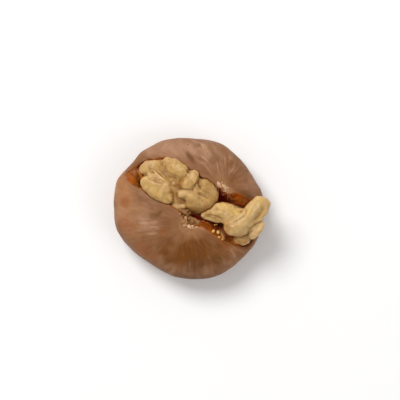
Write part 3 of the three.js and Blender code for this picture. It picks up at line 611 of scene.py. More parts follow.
def make_fig():
    G, where, u = loft()
    around, rows = G.shape[:2]
    lip_row = int(np.argmin(np.abs(where - LIP)))
    wide_row = int(np.argmin(np.abs(where - WIDEST)))
    quads = grid_quads(around, rows)
    W = np.broadcast_to(where, (around, rows)).ravel()
    U = np.broadcast_to(u[:, None], (around, rows)).ravel()
    step = np.linalg.norm(np.diff(G, axis=1), axis=2)
    arc = np.concatenate([np.zeros((around, 1)), np.cumsum(step, 1)], 1)
    arc = (arc - arc[:, lip_row:lip_row + 1]).ravel()
    co = G.reshape(-1, 3)
    pole = np.array([[*POCKET_CENTRE, POCKET_FLOOR - 0.5], [*BASE_CENTRE, STEM_TIP_HEIGHT]])
    k = np.arange(around)
    caps = np.concatenate([
        np.stack([np.full(around, around * rows), k * rows, ((k + 1) % around) * rows], 1),
        np.stack([k * rows + rows - 1, np.full(around, around * rows + 1), ((k + 1) % around) * rows + rows - 1], 1)])
    co = np.concatenate([co, pole])
    W = np.append(W, [0.0, len(STEPS)])
    U = np.append(U, [0.0, 0.0])
    arc = np.append(arc, [-30.0, 60.0])

    # the ribs of the fruit run from its eye to its stem
    n = len(COLUMNS)
    high = np.where(U < 14, 0.0, np.where(U < 19, smooth(14, 19, U), 1.0))
    high = np.where(U > 31, 1 - smooth(31, 33, U), high)
    high = np.where(U < 1, 1 - smooth(-1, 1, U), high)
    eye = EYE_LOW + high[:, None] * (EYE_HIGH - EYE_LOW)
    from_eye = co[:, :2] - eye
    reach = np.linalg.norm(from_eye, axis=1)
    from_stem = co[:, :2] - BASE_CENTRE
    turn = smooth(WIDEST - 3.0, WIDEST + 2.0, W)[:, None]
    unit = lambda v: v / np.maximum(np.linalg.norm(v, axis=1, keepdims=True), 1e-6)
    rib = unit(unit(from_eye) * (1 - turn) + unit(from_stem) * turn)
    run = np.where(W < WIDEST, reach, reach + np.maximum(arc, 0) * 0.2)
    # a little sideways wander, so that no rib is straight
    wander = 0.05 * noise(co * 0.12, 5) + 0.012 * noise(co * 0.4, 6)
    c, s = np.cos(wander), np.sin(wander)
    rib = np.stack([rib[:, 0] * c - rib[:, 1] * s, rib[:, 0] * s + rib[:, 1] * c], 1)
    def ribs(k, along, seed):
        return noise(np.stack([rib[:, 0] * k, rib[:, 1] * k, run * along + seed], 1), seed)

    skin = smooth(-0.25, 0.15, arc + 0.25 * noise(co * 1.1, 9))
    pulp = 1 - smooth(-1.3, -0.35, arc)
    under = smooth(WIDEST + 0.6, WIDEST + 3.0, W)
    flat = smooth(WIDEST + 2.6, WIDEST + 3.8, W)
    clear = smooth(1.2, 7.0, reach) * (1 - under) + under
    nor = vertex_normals(co, quads, caps)

    d = 0.34 * ribs(2.1, 0.05, 11) * clear
    d += 0.13 * ribs(7.0, 0.10, 12) * clear
    d += 0.055 * ribs(19.0, 0.22, 13) * clear
    d += 0.05 * fbm(co * 0.55, 3, 14)
    # the underside puckers towards the stem
    pucker = smooth(15.0, 4.0, np.linalg.norm(from_stem, axis=1)) * under
    groove = np.abs(ribs(4.2, 0.02, 15))
    d -= under * (0.10 + 0.9 * pucker * (1 - smooth(0.0, 0.34, groove)))
    d -= under * 0.20 * (1 - smooth(0.0, 0.30, np.abs(ribs(9.0, 0.05, 16))))
    stem = smooth(20.4, 21.2, W)
    d *= (1 - stem)
    co = co + nor * (d * smooth(-0.6, 0.8, arc))[:, None]

    # pulp: granules, strands and folds, clear of the nuts
    one, two = cells(co * 0.95 + 0.25 * noise(co * 1.4, 21)[:, None], 22)
    grains = 1 - smooth(0.0, 0.62, one)
    lump = fbm(co * 0.42, 3, 23)
    d = pulp * (0.42 * (grains - 0.45) + 0.75 * lump + 0.08 * fbm(co * 3.1, 2, 24))
    co = co + nor * d[:, None]
    # the dry scales behind the eye fill the pocket up to the lip there
    r = np.hypot((co[:, 0] - 0.3) / 3.8, (co[:, 1] + 4.2) / 3.0)
    scaly = (1 - smooth(0.45, 1.15, r)) * (W < LIP - 0.8)
    flake = cells(co * np.array([0.85, 0.85, 0.3]), 28)[0]
    top_z = 18.4 + 0.9 * (0.5 - flake) + 0.4 * noise(co * 0.9, 29) - 3.0 * (1 - smooth(0.4, 1.1, np.hypot((co[:, 0] - 1.6) / 2.3, (co[:, 1] + 3.0 + 0.4 * (co[:, 0] - 1.6)) / 1.0)))
    co[:, 2] += scaly * np.maximum(top_z - co[:, 2], 0)
    a = math.radians(107)
    dx, dy = co[:, 0] - 11.6, co[:, 1] + 9.4
    ridge = np.exp(-((dx * math.sin(a) - dy * math.cos(a)) / 0.55) ** 2) * (1 - smooth(1.6, 2.6, np.abs(dx * math.cos(a) + dy * math.sin(a)))) * (W < LIP)
    co[:, 2] += 1.3 * ridge
    # the flesh rises on both sides of the right piece
    for x, y, rx, ry, turn, z in ((7.4, -7.4, 6.6, 2.6, -30, 17.9), (13.6, -9.8, 5.4, 2.8, -34, 17.0), (17.3, 2.9, 4.8, 2.2, -32, 18.2),
                                  (-21.6, 11.2, 3.6, 4.6, 30, 14.8), (-18.6, 11.9, 2.6, 3.0, 0, 18.4), (-2.2, -1.4, 2.0, 2.8, 20, 19.8)):
        a = math.radians(turn)
        dx, dy = co[:, 0] - x, co[:, 1] - y
        p, q = dx * math.cos(a) + dy * math.sin(a), -dx * math.sin(a) + dy * math.cos(a)
        m = (1 - smooth(0.55, 1.2, np.hypot(p / rx, q / ry))) * (W < LIP - 0.6)
        rise = z + 0.45 * (grains - 0.45) + 0.5 * lump
        co[:, 2] += m * np.maximum(rise - co[:, 2], 0)
    # the cut edge of the lip wavers
    edge = np.exp(-(arc / 0.9) ** 2)
    co[:, 2] += edge * (0.16 * noise(co * 0.45, 26) + 0.06 * noise(co * 1.6, 27))

    # the eye: a torn, crusty rim
    for centre, seed, size in ((EYE_LOW, 31, 3.0), (EYE_HIGH, 32, 3.4)):
        r = np.linalg.norm(co[:, :2] - centre, axis=1)
        m = (1 - smooth(size * 0.35, size, r)) * (W > LIP - 2.2) * (W < WIDEST)
        torn = fbm(co * 1.25, 3, seed) * 0.75 + 0.25 * (1 - 2 * smooth(0, 0.6, cells(co * 1.3, seed + 1)[0]))
        co = co + nor * (m * 0.75 * torn)[:, None]

    # the flesh clings to the kernel just under the lip
    for lobes, seed in ((LEFT_LOBES, 71), (RIGHT_LOBES, 91)):
        rim = np.flatnonzero((W < LIP + 0.5) & (arc > -3.4) & (arc < 0.7))
        p, h = co[rim], 0.05
        dist = nut_distance(warp(p, seed), lobes) - 0.20
        g = np.stack([nut_distance(warp(p + h * e, seed), lobes) - nut_distance(warp(p - h * e, seed), lobes)
                      for e in np.eye(3)], 1)
        pull = smooth(1.3, 0.6, dist) * smooth(0.7, -0.1, arc[rim]) * smooth(-3.4, -2.4, arc[rim])
        co[rim] = p - unit(g) * (np.maximum(dist, 0) * pull)[:, None]

    # rest flat, and keep the pulp off the nuts
    co[:, 2] = np.where(flat > 0.0, np.maximum(co[:, 2], 0.0), np.maximum(co[:, 2], 0.03))
    for lobes, seed in ((LEFT_LOBES, 71), (RIGHT_LOBES, 91)):
        for _ in range(5):
            dist = nut_distance(warp(co, seed), lobes) - 0.18
            close = np.flatnonzero((dist < 0) & (W < WIDEST - 2))
            if not len(close):
                break
            p, h = co[close], 0.05
            g = np.stack([nut_distance(warp(p + h * e, seed), lobes) - nut_distance(warp(p - h * e, seed), lobes)
                          for e in np.eye(3)], 1)
            co[close] = p - unit(g) * dist[close][:, None] * 0.95
    nor = vertex_normals(co, quads, caps)
    return dict(co=co, quads=quads, caps=caps, W=W, U=U, arc=arc, rib=rib, run=run, reach=reach, skin=skin,
                pulp=pulp, under=under, high=high, nor=nor, grains=grains, lump=lump, stem=stem, ribs=ribs, scaly=scaly, ridge=ridge)


# ------------------------------------------------------------------- materials
class Mat:
    def __init__(self, name):
        self.m = bpy.data.materials.new(name)
        self.m.use_nodes = True
        self.nt = self.m.node_tree
        self.p = self.nt.nodes["Principled BSDF"]

    def new(self, kind, **props):
        n = self.nt.nodes.new(kind)
        for k, v in props.items():
            setattr(n, k, v)
        return n

    def put(self, socket, value):
        if isinstance(value, bpy.types.NodeSocket):
            self.nt.links.new(value, socket)
        else:
            socket.default_value = value

    def attr(self, name, vector=False):
        n = self.new("ShaderNodeAttribute", attribute_name=name)
        return n.outputs["Vector" if vector else "Fac"]

    def where(self):
        return self.new("ShaderNodeTexCoord").outputs["Object"]

    def scaled(self, vec, s):
        n = self.new("ShaderNodeVectorMath", operation="MULTIPLY")
        self.put(n.inputs[0], vec)
        n.inputs[1].default_value = s if isinstance(s, (tuple, list)) else (s, s, s)
        return n.outputs[0]

    def noise(self, vec, scale, detail=3.0, rough=0.55, warp=0.0):
        n = self.new("ShaderNodeTexNoise")
        self.put(n.inputs["Vector"], vec)
        n.inputs["Scale"].default_value = scale
        n.inputs["Detail"].default_value = detail
        n.inputs["Roughness"].default_value = rough
        n.inputs["Distortion"].default_value = warp
        return n.outputs["Fac"]

    def cell(self, vec, scale, feature="F1"):
        n = self.new("ShaderNodeTexVoronoi", feature=feature)
        self.put(n.inputs["Vector"], vec)
        n.inputs["Scale"].default_value = scale
        return n.outputs["Distance"]

    def range(self, x, a, b, c=0.0, d=1.0):
        n = self.new("ShaderNodeMapRange", interpolation_type="SMOOTHSTEP", clamp=True)
        self.put(n.inputs[0], x)
        for i, v in enumerate((a, b, c, d)):
            n.inputs[i + 1].default_value = v
        return n.outputs[0]

    def math(self, op, a, b=0.0):
        n = self.new("ShaderNodeMath", operation=op)
        self.put(n.inputs[0], a)
        self.put(n.inputs[1], b)
        return n.outputs[0]

    def mix(self, fac, a, b, blend="MIX"):
        n = self.new("ShaderNodeMix", data_type="RGBA", blend_type=blend)
        n.clamp_factor = True
        self.put(n.inputs[0], fac)
        self.put(n.inputs[6], a)
        self.put(n.inputs[7], b)
        return n.outputs[2]

    def bump(self, height, strength, distance, normal=None):
        n = self.new("ShaderNodeBump")
        n.inputs["Strength"].default_value = strength
        n.inputs["Distance"].default_value = distance
        self.put(n.inputs["Height"], height)
        if normal is not None:
            self.put(n.inputs["Normal"], normal)
        return n.outputs[0]


def fig_material(name, gloss):
    m = Mat(name)
    rib = m.attr("rib", True)
    pos = m.where()
    skin = m.attr("skin")
    # skin
    body = m.mix(m.attr("warm"), lit(150, 106, 74), lit(182, 129, 88))
    # partly the skin's pale bloom, partly painted sheen laid along the rims
    body = m.mix(m.attr("frost"), body, lit(178, 136, 108))
    body = m.mix(m.attr("amber"), body, lit(122, 75, 20))
    body = m.mix(m.attr("olive"), body, lit(110, 74, 36))
    body = m.mix(m.attr("ruddy"), body, lit(166, 98, 58))
    broad = m.noise(rib, 7.0, 3.0, 0.55, 0.4)
    body = m.mix(m.range(broad, 0.50, 0.74, 0.0, 0.48), body, (1.26, 1.30, 1.28, 1.0), "MULTIPLY")
    body = m.mix(m.range(broad, 0.50, 0.26, 0.0, 0.48), body, (0.76, 0.70, 0.62, 1.0), "MULTIPLY")
    fine = m.noise(rib, 30.0, 3.0, 0.6, 0.3)
    calm = m.range(m.attr("amber"), 0.2, 0.9, 1.0, 0.35)
    body = m.mix(m.math("MULTIPLY", calm, m.range(fine, 0.52, 0.80, 0.0, 0.42)), body, (1.26, 1.30, 1.30, 1.0), "MULTIPLY")
    body = m.mix(m.math("MULTIPLY", calm, m.range(fine, 0.48, 0.22, 0.0, 0.42)), body, (0.76, 0.70, 0.62, 1.0), "MULTIPLY")
    strokes = m.range(m.noise(m.scaled(rib, (1.0, 1.0, 1.8)), 10.0, 3.0, 0.55, 0.12), 0.44, 0.74)
    body = m.mix(m.math("MULTIPLY", strokes, m.math("MULTIPLY", m.attr("brush"), 0.85)), body, lit(196, 154, 122))
    between = m.range(m.noise(m.scaled(rib, (1.0, 1.0, 1.6)), 9.0, 2.0, 0.5, 0.1), 0.50, 0.32)
    body = m.mix(m.math("MULTIPLY", between, m.math("MULTIPLY", m.attr("brush"), 0.45)), body, lit(116, 74, 46))
    # painted shade: the skin darker at the bottom edge, on the steep sides and in a few patches
    body = m.mix(m.attr("shade"), body, lit(104, 66, 38))
    blotch = m.noise(pos, 170.0, 4.0, 0.6)
    body = m.mix(m.range(blotch, 0.46, 0.72, 0.0, 0.60), body, (0.80, 0.75, 0.68, 1.0), "MULTIPLY")
    body = m.mix(m.range(m.noise(pos, 260.0, 3.0, 0.6), 0.50, 0.74, 0.0, 0.60), body, (1.22, 1.26, 1.26, 1.0), "MULTIPLY")
    speck = m.range(m.cell(pos, 330.0), 0.10, 0.055)
    body = m.mix(m.math("MULTIPLY", speck, m.range(m.noise(pos, 95.0), 0.56, 0.60)), body, lit(72, 40, 22))
    body = m.mix(m.attr("tanned"), body, lit(172, 128, 88))
    body = m.mix(m.attr("pinkish"), body, lit(186, 132, 98))
    body = m.mix(m.attr("crust"), body, lit(216, 172, 126))
    body = m.mix(m.attr("stem"), body, lit(112, 82, 54))
    # pulp
    flesh = m.mix(m.attr("deep"), lit(152, 84, 20), lit(104, 42, 12))
    flesh = m.mix(m.attr("ochre"), flesh, lit(126, 78, 20))
    flesh = m.mix(m.attr("orange"), flesh, lit(176, 90, 10))
    flesh = m.mix(m.range(m.noise(pos, 520.0, 3.0, 0.6), 0.42, 0.66, 0.0, 0.65), flesh, (0.62, 0.50, 0.40, 1.0), "MULTIPLY")
    flesh = m.mix(m.attr("pale"), flesh, lit(196, 146, 94))
    seedy = m.noise(pos, 900.0, 3.0, 0.6)
    flesh = m.mix(m.range(seedy, 0.54, 0.78, 0.0, 0.35), flesh, lit(196, 116, 34))
    flesh = m.mix(m.attr("scaly"), flesh, lit(164, 122, 72))
    # painted shade: near-black red in the gaps by the nuts and in the depths of the pocket
    flesh = m.mix(m.attr("dark"), flesh, lit(124, 30, 12))
    # painted light: the pulp walls beside the nuts are painted bright orange so that their shaded gaps come out
    # orange-brown
    flesh = m.mix(m.math("MULTIPLY", m.attr("near_nut"), 0.88), flesh, lit(228, 142, 68))
    m.put(m.p.inputs["Base Color"], m.mix(skin, flesh, body))
    rough = m.mix(skin, (0.34, 0.34, 0.34, 1), (0.58, 0.58, 0.58, 1))
    vary = m.range(m.noise(pos, 420.0), 0.3, 0.7, -0.06, 0.08)
    m.put(m.p.inputs["Roughness"], m.math("ADD", rough, vary))
    m.p.inputs["Subsurface Weight"].default_value = 0.22
    m.p.inputs["Subsurface Radius"].default_value = (1.0, 0.42, 0.16)
    m.p.inputs["Subsurface Scale"].default_value = 0.0020
    m.p.inputs["Specular IOR Level"].default_value = gloss
    m.p.inputs["Sheen Weight"].default_value = 0.03
    m.p.inputs["Sheen Roughness"].default_value = 0.5
    m.p.inputs["Sheen Tint"].default_value = (1.0, 0.93, 0.90, 1.0)
    leather = m.noise(pos, 1500.0, 3.0, 0.55)
    lines = m.noise(rib, 60.0, 2.0, 0.5)
    n = m.bump(leather, 0.20, 0.00012)
    n = m.bump(lines, 0.25, 0.00016, n)
    m.put(m.p.inputs["Normal"], n)
    return m.m


def seed_material():
    m = Mat("fig_seed")
    pos = m.where()
    base = m.mix(m.attr("tone"), lit(206, 146, 58), lit(236, 190, 116))
    base = m.mix(m.range(m.noise(pos, 700.0), 0.45, 0.75, 0.0, 0.5), base, lit(184, 120, 56))
    m.put(m.p.inputs["Base Color"], base)
    m.put(m.p.inputs["Roughness"], m.range(m.noise(pos, 1400.0), 0.3, 0.7, 0.30, 0.45))
    m.p.inputs["Subsurface Weight"].default_value = 0.1
    m.p.inputs["Subsurface Scale"].default_value = 0.0008
    return m.m


def crust_material():
    m = Mat("fig_eye_scales")
    pos = m.where()
    base = m.mix(m.attr("tone"), lit(160, 114, 66), lit(234, 186, 148))
    base = m.mix(m.range(m.noise(pos, 1300.0, 4.0), 0.46, 0.72, 0.0, 0.45), base, lit(158, 108, 64))
    m.put(m.p.inputs["Base Color"], base)
    m.put(m.p.inputs["Roughness"], m.range(m.noise(pos, 1400.0), 0.3, 0.7, 0.62, 0.82))
    m.put(m.p.inputs["Normal"], m.bump(m.noise(pos, 2600.0, 3.0), 0.4, 0.00012))
    m.p.inputs["Subsurface Weight"].default_value = 0.3
    m.p.inputs["Subsurface Radius"].default_value = (1.0, 0.6, 0.35)
    m.p.inputs["Subsurface Scale"].default_value = 0.0010
    m.p.inputs["Specular IOR Level"].default_value = 0.3
    return m.m


def fibre_material():
    m = Mat("fig_fibre")
    pos = m.where()
    m.put(m.p.inputs["Base Color"], m.mix(m.range(m.noise(pos, 900.0), 0.35, 0.65), lit(122, 46, 12), lit(176, 92, 34)))
    m.put(m.p.inputs["Roughness"], m.range(m.noise(pos, 1400.0), 0.3, 0.7, 0.32, 0.5))
    return m.m


def nut_material(name, light, mid, low, deep):
    m = Mat(name)
    pos = m.where()
    tone = m.noise(pos, 150.0, 3.0, 0.5)
    base = m.mix(m.range(tone, 0.36, 0.66), lit(*mid), lit(*light))
    base = m.mix(m.range(m.noise(pos, 95.0, 2.0, 0.5), 0.56, 0.72, 0.0, 0.35), base, lit(196, 166, 92))
    # tan lobes; on the low lobes that fill the valleys the tan is painted shade
    base = m.mix(m.attr("tan"), base, lit(*low))
    base = m.mix(m.attr("cream"), base, lit(224, 186, 122))
    # painted highlight: the crests of the lobes are painted lighter
    base = m.mix(m.math("MULTIPLY", m.attr("crest"), 0.50), base, lit(228, 194, 138))
    base = m.mix(m.attr("gold"), base, lit(226, 188, 112))
    # pinkish kernel colour, partly painted highlight on the lobes
    base = m.mix(m.attr("pink"), base, lit(222, 180, 136))
    base = m.mix(m.attr("green"), base, lit(196, 166, 90))
    # painted highlight: light bands along the tops of the lobes
    base = m.mix(m.attr("glow"), base, lit(240, 206, 152))
    # brown skin, partly painted shade in the valleys and shaded spots between the lobes
    base = m.mix(m.attr("brown"), base, lit(158, 109, 52))
    # painted light: the steep sides are painted a brighter orange to lift their shade
    base = m.mix(m.attr("edge"), base, lit(214, 150, 84))
    # painted shade: dark lines along the boundaries of the lobes
    base = m.mix(m.attr("umber"), base, lit(118, 76, 32))
    # painted shade: darker in the hollows between the lobes and in the creases
    base = m.mix(m.attr("hollow"), base, lit(*low))
    base = m.mix(m.attr("crease"), base, lit(*deep))
    base = m.mix(m.math("MULTIPLY", m.attr("vein"), 0.30), base, lit(176, 128, 70))
    mottling = m.noise(pos, 380.0, 3.0, 0.55)
    base = m.mix(m.range(mottling, 0.50, 0.76, 0.0, 0.26), base, lit(178, 130, 70))
    base = m.mix(m.range(mottling, 0.48, 0.26, 0.0, 0.24), base, lit(228, 196, 142))
    base = m.mix(m.attr("chip"), base, lit(182, 120, 56))
    speck = m.range(m.cell(pos, 420.0), 0.085, 0.045)
    base = m.mix(m.math("MULTIPLY", speck, m.range(m.noise(pos, 160.0), 0.57, 0.6)), base, lit(96, 60, 28))
    m.put(m.p.inputs["Base Color"], base)
    m.put(m.p.inputs["Roughness"], m.range(m.noise(pos, 500.0), 0.3, 0.7, 0.38, 0.50))
    m.p.inputs["Subsurface Weight"].default_value = 0.45
    m.p.inputs["Subsurface Radius"].default_value = (1.0, 0.60, 0.28)
    m.p.inputs["Subsurface Scale"].default_value = 0.0015
    m.p.inputs["Specular IOR Level"].default_value = 0.4
    n = m.bump(m.noise(pos, 900.0, 3.0, 0.55), 0.10, 0.00012)
    m.put(m.p.inputs["Normal"], n)
    return m.m


# tan lobes; on the low lobes that fill the valleys the tan is painted shade
TAN_AND_SHADE_LOBES = {"a5_1": 0.40, "body_7": 0.50, "a6_2": 0.45, "a45_1": 0.5, "a4_2": 0.45, "a1_2": 0.25, "b1_4": 0.75, "b5_1": 0.5,
             "b3_3": 0.45, "b1_2": 0.25, "b1_3": 0.50, "body_11": 0.55, "body_12": 0.55, "body_13": 0.55, "body_4": 0.55, "body_5": 0.5,
             "body_6": 0.35, "body": 0.5}
CREAM_LOBES = {"b3_1": 0.35, "b3_2": 0.4, "b2_1": 0.5, "b1_1": 0.3, "a3_1": 0.15, "a7_1": 0.15, "a9_1": 0.6}

# ---------------------------------------------------------------------- pieces
fig = make_fig()
co, W, U, arc, nor = fig["co"], fig["W"], fig["U"], fig["arc"], fig["nor"]
ribs = fig["ribs"]


def spot(x, y, rx, ry, angle=0.0, seed=0, ragged=0.35):
    """a soft-edged patch on the plan, 1 in its middle"""
    a = math.radians(angle)
    dx, dy = co[:, 0] - x, co[:, 1] - y
    p, q = dx * math.cos(a) + dy * math.sin(a), -dx * math.sin(a) + dy * math.cos(a)
    r = np.sqrt((p / rx) ** 2 + (q / ry) ** 2) + ragged * noise(co * 0.28, seed + 200)
    return 1 - smooth(0.45, 1.15, r)


steep = 1 - np.clip(nor[:, 2], 0, 1)
top = (W > LIP) & (W < WIDEST + 1)
nuts_near = np.minimum(nut_distance(co, LEFT_LOBES), nut_distance(co, RIGHT_LOBES))

# where the fruit is darker, warmer, frosted or streaked; the frost is partly painted sheen and the darkening is painted
# shade
amber = np.clip(0.95 * spot(2.6, -16.0, 14.0, 6.6, 4, 1) + 0.15 * spot(14.5, -14.6, 7.5, 5.0, 32, 2)
                + 0.32 * spot(17.0, 13.5, 8.5, 6.5, -48, 3) + 0.20 * spot(-9.0, -8.0, 10.0, 6.0, -30, 4)
                + 0.22 * spot(-8.24, -11.82, 3.6, 2.0, -30, 48) + 0.40 * spot(-10.80, -14.74, 3.0, 2.4, -30, 83), 0, 1) * (1 - 0.35 * spot(10.34, -16.93, 4.6, 4.6, 0, 84))
warm = np.clip(0.75 * spot(-25.6, 7.4, 4.2, 9.5, 12, 5) + 0.55 * spot(-21.5, -2.0, 7.0, 9.0, 20, 6)
               + 0.25 * spot(-1.0, -9.4, 6.0, 4.2, 0, 7) + 0.30 * fig["under"], 0, 1)
ruddy = np.clip(0.60 * spot(-23.92, 2.39, 2.4, 2.4, 0, 49) + 0.45 * spot(-23.55, -6.36, 3.2, 5.0, 20, 50)
                + 0.40 * spot(-10.07, -8.54, 2.6, 1.6, 0, 51) + 0.45 * spot(12.90, -13.28, 4.6, 1.6, -32, 75) + 0.40 * spot(-16.26, -15.83, 6.0, 2.6, -38, 52), 0, 1)
olive = np.clip(0.42 * spot(-13.17, -2.35, 2.7, 1.7, 30, 8, 0.25) + 0.50 * spot(-11.16, -1.44, 1.5, 1.1, 40, 53, 0.2)
                + 0.35 * spot(7.43, 21.71, 1.1, 2.1, 38, 9, 0.2) + 0.50 * spot(10.0, -18.0, 4.6, 2.4, 20, 10)
                + 0.35 * spot(2.33, 22.98, 2.2, 1.2, 10, 11) + 0.45 * spot(-0.23, 19.34, 2.4, 1.0, -52, 54)
                + 0.30 * spot(20.0, 5.4, 3.4, 1.6, -30, 26) + 0.35 * spot(-3.32, -3.81, 0.6, 2.6, 8, 55, 0.2), 0, 1)
# pale bloom, partly painted sheen: most patches lie along the rims of the fruit
frost = np.clip(0.80 * spot(-8.0, 21.8, 12.0, 4.6, 0, 17) + 0.40 * spot(20.5, 10.0, 4.0, 8.0, 30, 18)
                + 0.35 * spot(-24.5, -3.0, 3.0, 9.0, 10, 27) + 0.35 * spot(4.51, 21.34, 7.0, 4.5, -30, 28) + 0.45 * spot(8.52, 18.43, 8.0, 5.0, -42, 78)
                + 0.60 * spot(-15.53, -5.63, 5.5, 4.0, -14, 56) + 0.30 * spot(-17.72, -1.98, 7.0, 5.0, -36, 85), 0, 1) * (1 - 0.7 * amber)
brush = np.clip(0.95 * spot(-16.63, -6.36, 5.6, 4.6, -14, 12) + 0.36 * spot(-2.05, -22.39, 11.0, 3.4, 0, 13)
                + 1.00 * spot(5.97, 19.16, 6.4, 5.4, -46, 14) + 0.75 * spot(12.90, 15.51, 5.0, 5.0, -48, 15)
                + 0.45 * spot(15.08, -16.93, 6.0, 3.0, 30, 16) + 0.40 * spot(-18.45, 3.12, 7.0, 3.4, -40, 57) + 0.16, 0, 1)
# painted shade: darker towards the bottom edge and on the steep sides, plus a few darker patches
shade = np.clip(0.70 * np.exp(-((co[:, 0] - 1.0) / 11.0) ** 2) * smooth(-17.0, -25.0, co[:, 1]) * smooth(0.15, 0.75, steep) + 0.16 * spot(-16.63, 1.30, 5.0, 3.0, -40, 76)
                + 0.35 * spot(0.87, -21.30, 5.0, 3.4, 0, 86) + 0.45 * spot(-0.23, 18.43, 0.9, 3.4, 38, 58, 0.3) + 0.40 * spot(8.52, 17.70, 2.2, 2.6, -40, 59), 0, 0.8)
flank = smooth(4.0, 10.5, co[:, 2] + 1.6 * fbm(co * 0.25, 2, 92))
amber, shade = amber * (0.15 + 0.85 * flank), shade * flank
low_eye = np.linalg.norm(co[:, :2] - EYE_LOW, axis=1)
high_eye = np.linalg.norm(co[:, :2] - EYE_HIGH, axis=1)
ragged = fbm(co * 0.9, 3, 44)
flecks = smooth(-0.30, 0.30, fbm(co * 1.5, 3, 46))
crust = np.clip(0.55 * spot(-2.78, -1.77, 0.8, 1.6, 30, 88, 0.2) + 0.95 * spot(-1.83, -3.62, 0.95, 2.6, 6, 32, 0.25) + 0.95 * spot(0.07, -6.50, 2.3, 0.7, -16, 33, 0.25)
                + 0.95 * spot(10.56, 8.66, 0.75, 1.3, 28, 60, 0.2) + 0.85 * spot(11.51, 8.88, 0.9, 0.8, 0, 98, 0.2) + 0.95 * spot(12.39, 8.15, 1.0, 0.85, -30, 61, 0.2)
                + 0.80 * spot(13.11, 6.98, 0.75, 1.2, 20, 62, 0.2), 0, 1) * (0.45 + 0.55 * flecks)
tanned = np.clip(0.75 * spot(-2.96, -1.62, 1.2, 3.2, 10, 34) + 0.55 * (1 - smooth(0.0, 1.2, np.abs(low_eye - 3.3) + 0.5 * ragged)) * (low_eye > 1.0)
                 + 0.60 * spot(14.35, 6.40, 2.6, 1.5, -30, 35) + 0.50 * spot(11.44, 10.23, 3.2, 1.6, -30, 36)
                 + 0.50 * spot(3.42, -6.72, 2.4, 0.9, -4, 63), 0, 0.85) * top * (1 - crust)
pinkish = np.clip(0.75 * spot(3.60, -6.79, 2.6, 1.2, -14, 64, 0.25) + 0.55 * spot(-0.96, -6.65, 2.4, 1.0, 0, 79, 0.2) + 0.55 * spot(-1.83, -3.08, 0.9, 2.6, 6, 80, 0.2) + 0.55 * spot(13.81, 6.40, 1.4, 1.2, 0, 65), 0, 1)
olive = olive * (1 - crust)

# the flesh: amber at the cut, red-brown below, and painted shade, dark in the depths and in the gaps by the nuts
inside = -arc
deep = np.clip(smooth(1.2, 3.8, inside + 1.3 * fig["lump"]) + 0.45 * (fig["grains"] - 0.4), 0, 1)
deep = np.maximum(deep - 1.2 * spot(-23.2, 9.8, 3.8, 4.4, 0, 19) - 1.2 * spot(17.27, 3.85, 5.2, 3.2, -24, 20)
                  - 1.0 * spot(6.70, -8.54, 3.4, 1.5, -32, 21), 0)
ochre = np.clip(0.9 * spot(-19.91, 8.22, 1.7, 1.7, 0, 94) + 0.9 * spot(13.99, -11.10, 3.4, 3.0, -40, 66) + 0.8 * spot(-19.18, 11.14, 2.0, 4.0, 10, 82) + 0.6 * spot(-20.64, 9.68, 2.0, 4.0, 20, 81) + 0.6 * spot(21.28, -12.55, 2.4, 3.0, 0, 67)
                + 0.5 * spot(-1.32, -1.25, 1.6, 1.8, 0, 68), 0, 1)
orange = np.clip(0.95 * spot(17.09, 5.01, 2.1, 1.1, -20, 69) + 1.0 * spot(6.52, -8.91, 2.6, 1.0, -32, 70)
                 + 0.8 * spot(-21.73, 11.14, 2.6, 4.0, 20, 71) + 0.35 * spot(10.71, 6.95, 1.3, 0.6, 0, 72), 0, 1)
# painted shade: near-black red over the gaps beside the nuts and deeper into the pocket
dark = np.clip(1.0 * spot(11.00, 4.80, 1.9, 2.5, -18, 22, 0.15) + 1.0 * spot(1.82, -2.93, 2.3, 0.95, -28, 23, 0.15) + 1.0 * spot(2.54, -3.44, 1.3, 1.0, -36, 91, 0.1)
               + 0.9 * spot(0.87, -5.41, 0.6, 0.45, 0, 47, 0.1) + 0.9 * spot(3.86, 11.36, 1.0, 0.8, 0, 73, 0.1)
               + 0.30 * smooth(3.5, 8.0, inside) + 0.3 * spot(17.27, 1.88, 2.4, 0.7, -24, 37, 0.2)
               + 0.12 * spot(7.06, -5.63, 3.6, 1.3, -14, 74, 0.2) + 0.40 * spot(14.17, -11.82, 2.6, 1.6, -34, 93, 0.2), 0, 1)
dark = dark * smooth(0.3, 1.2, inside) * (1 - spot(-21.00, 11.50, 3.4, 4.6, 20, 77, 0.1)) * (0.85 + 0.15 * noise(co * 0.8, 45))
pale = np.clip(0.34 * np.exp(-((arc + 0.22) / 0.30) ** 2) + 0.35 * spot(-22.0, 12.4, 1.8, 2.4, 0, 25) * fig["pulp"]
               + 0.9 * fig["ridge"], 0, 1)
pale = pale * (1 - 0.7 * spot(6.70, -8.54, 3.0, 1.6, -32, 96)) * (1 - 0.6 * spot(-21.73, 9.68, 2.8, 3.4, 0, 97))
# painted light: bright orange on the walls close to the nuts, where the gaps lie in shade
near_nut = (1 - 0.7 * spot(-19.91, 8.59, 2.6, 3.2, 0, 95)) * (1 - smooth(0.2, 1.1, nuts_near)) * smooth(0.3, 1.0, inside) * (1 - dark)
scaly = fig["scaly"] * (1 - dark)

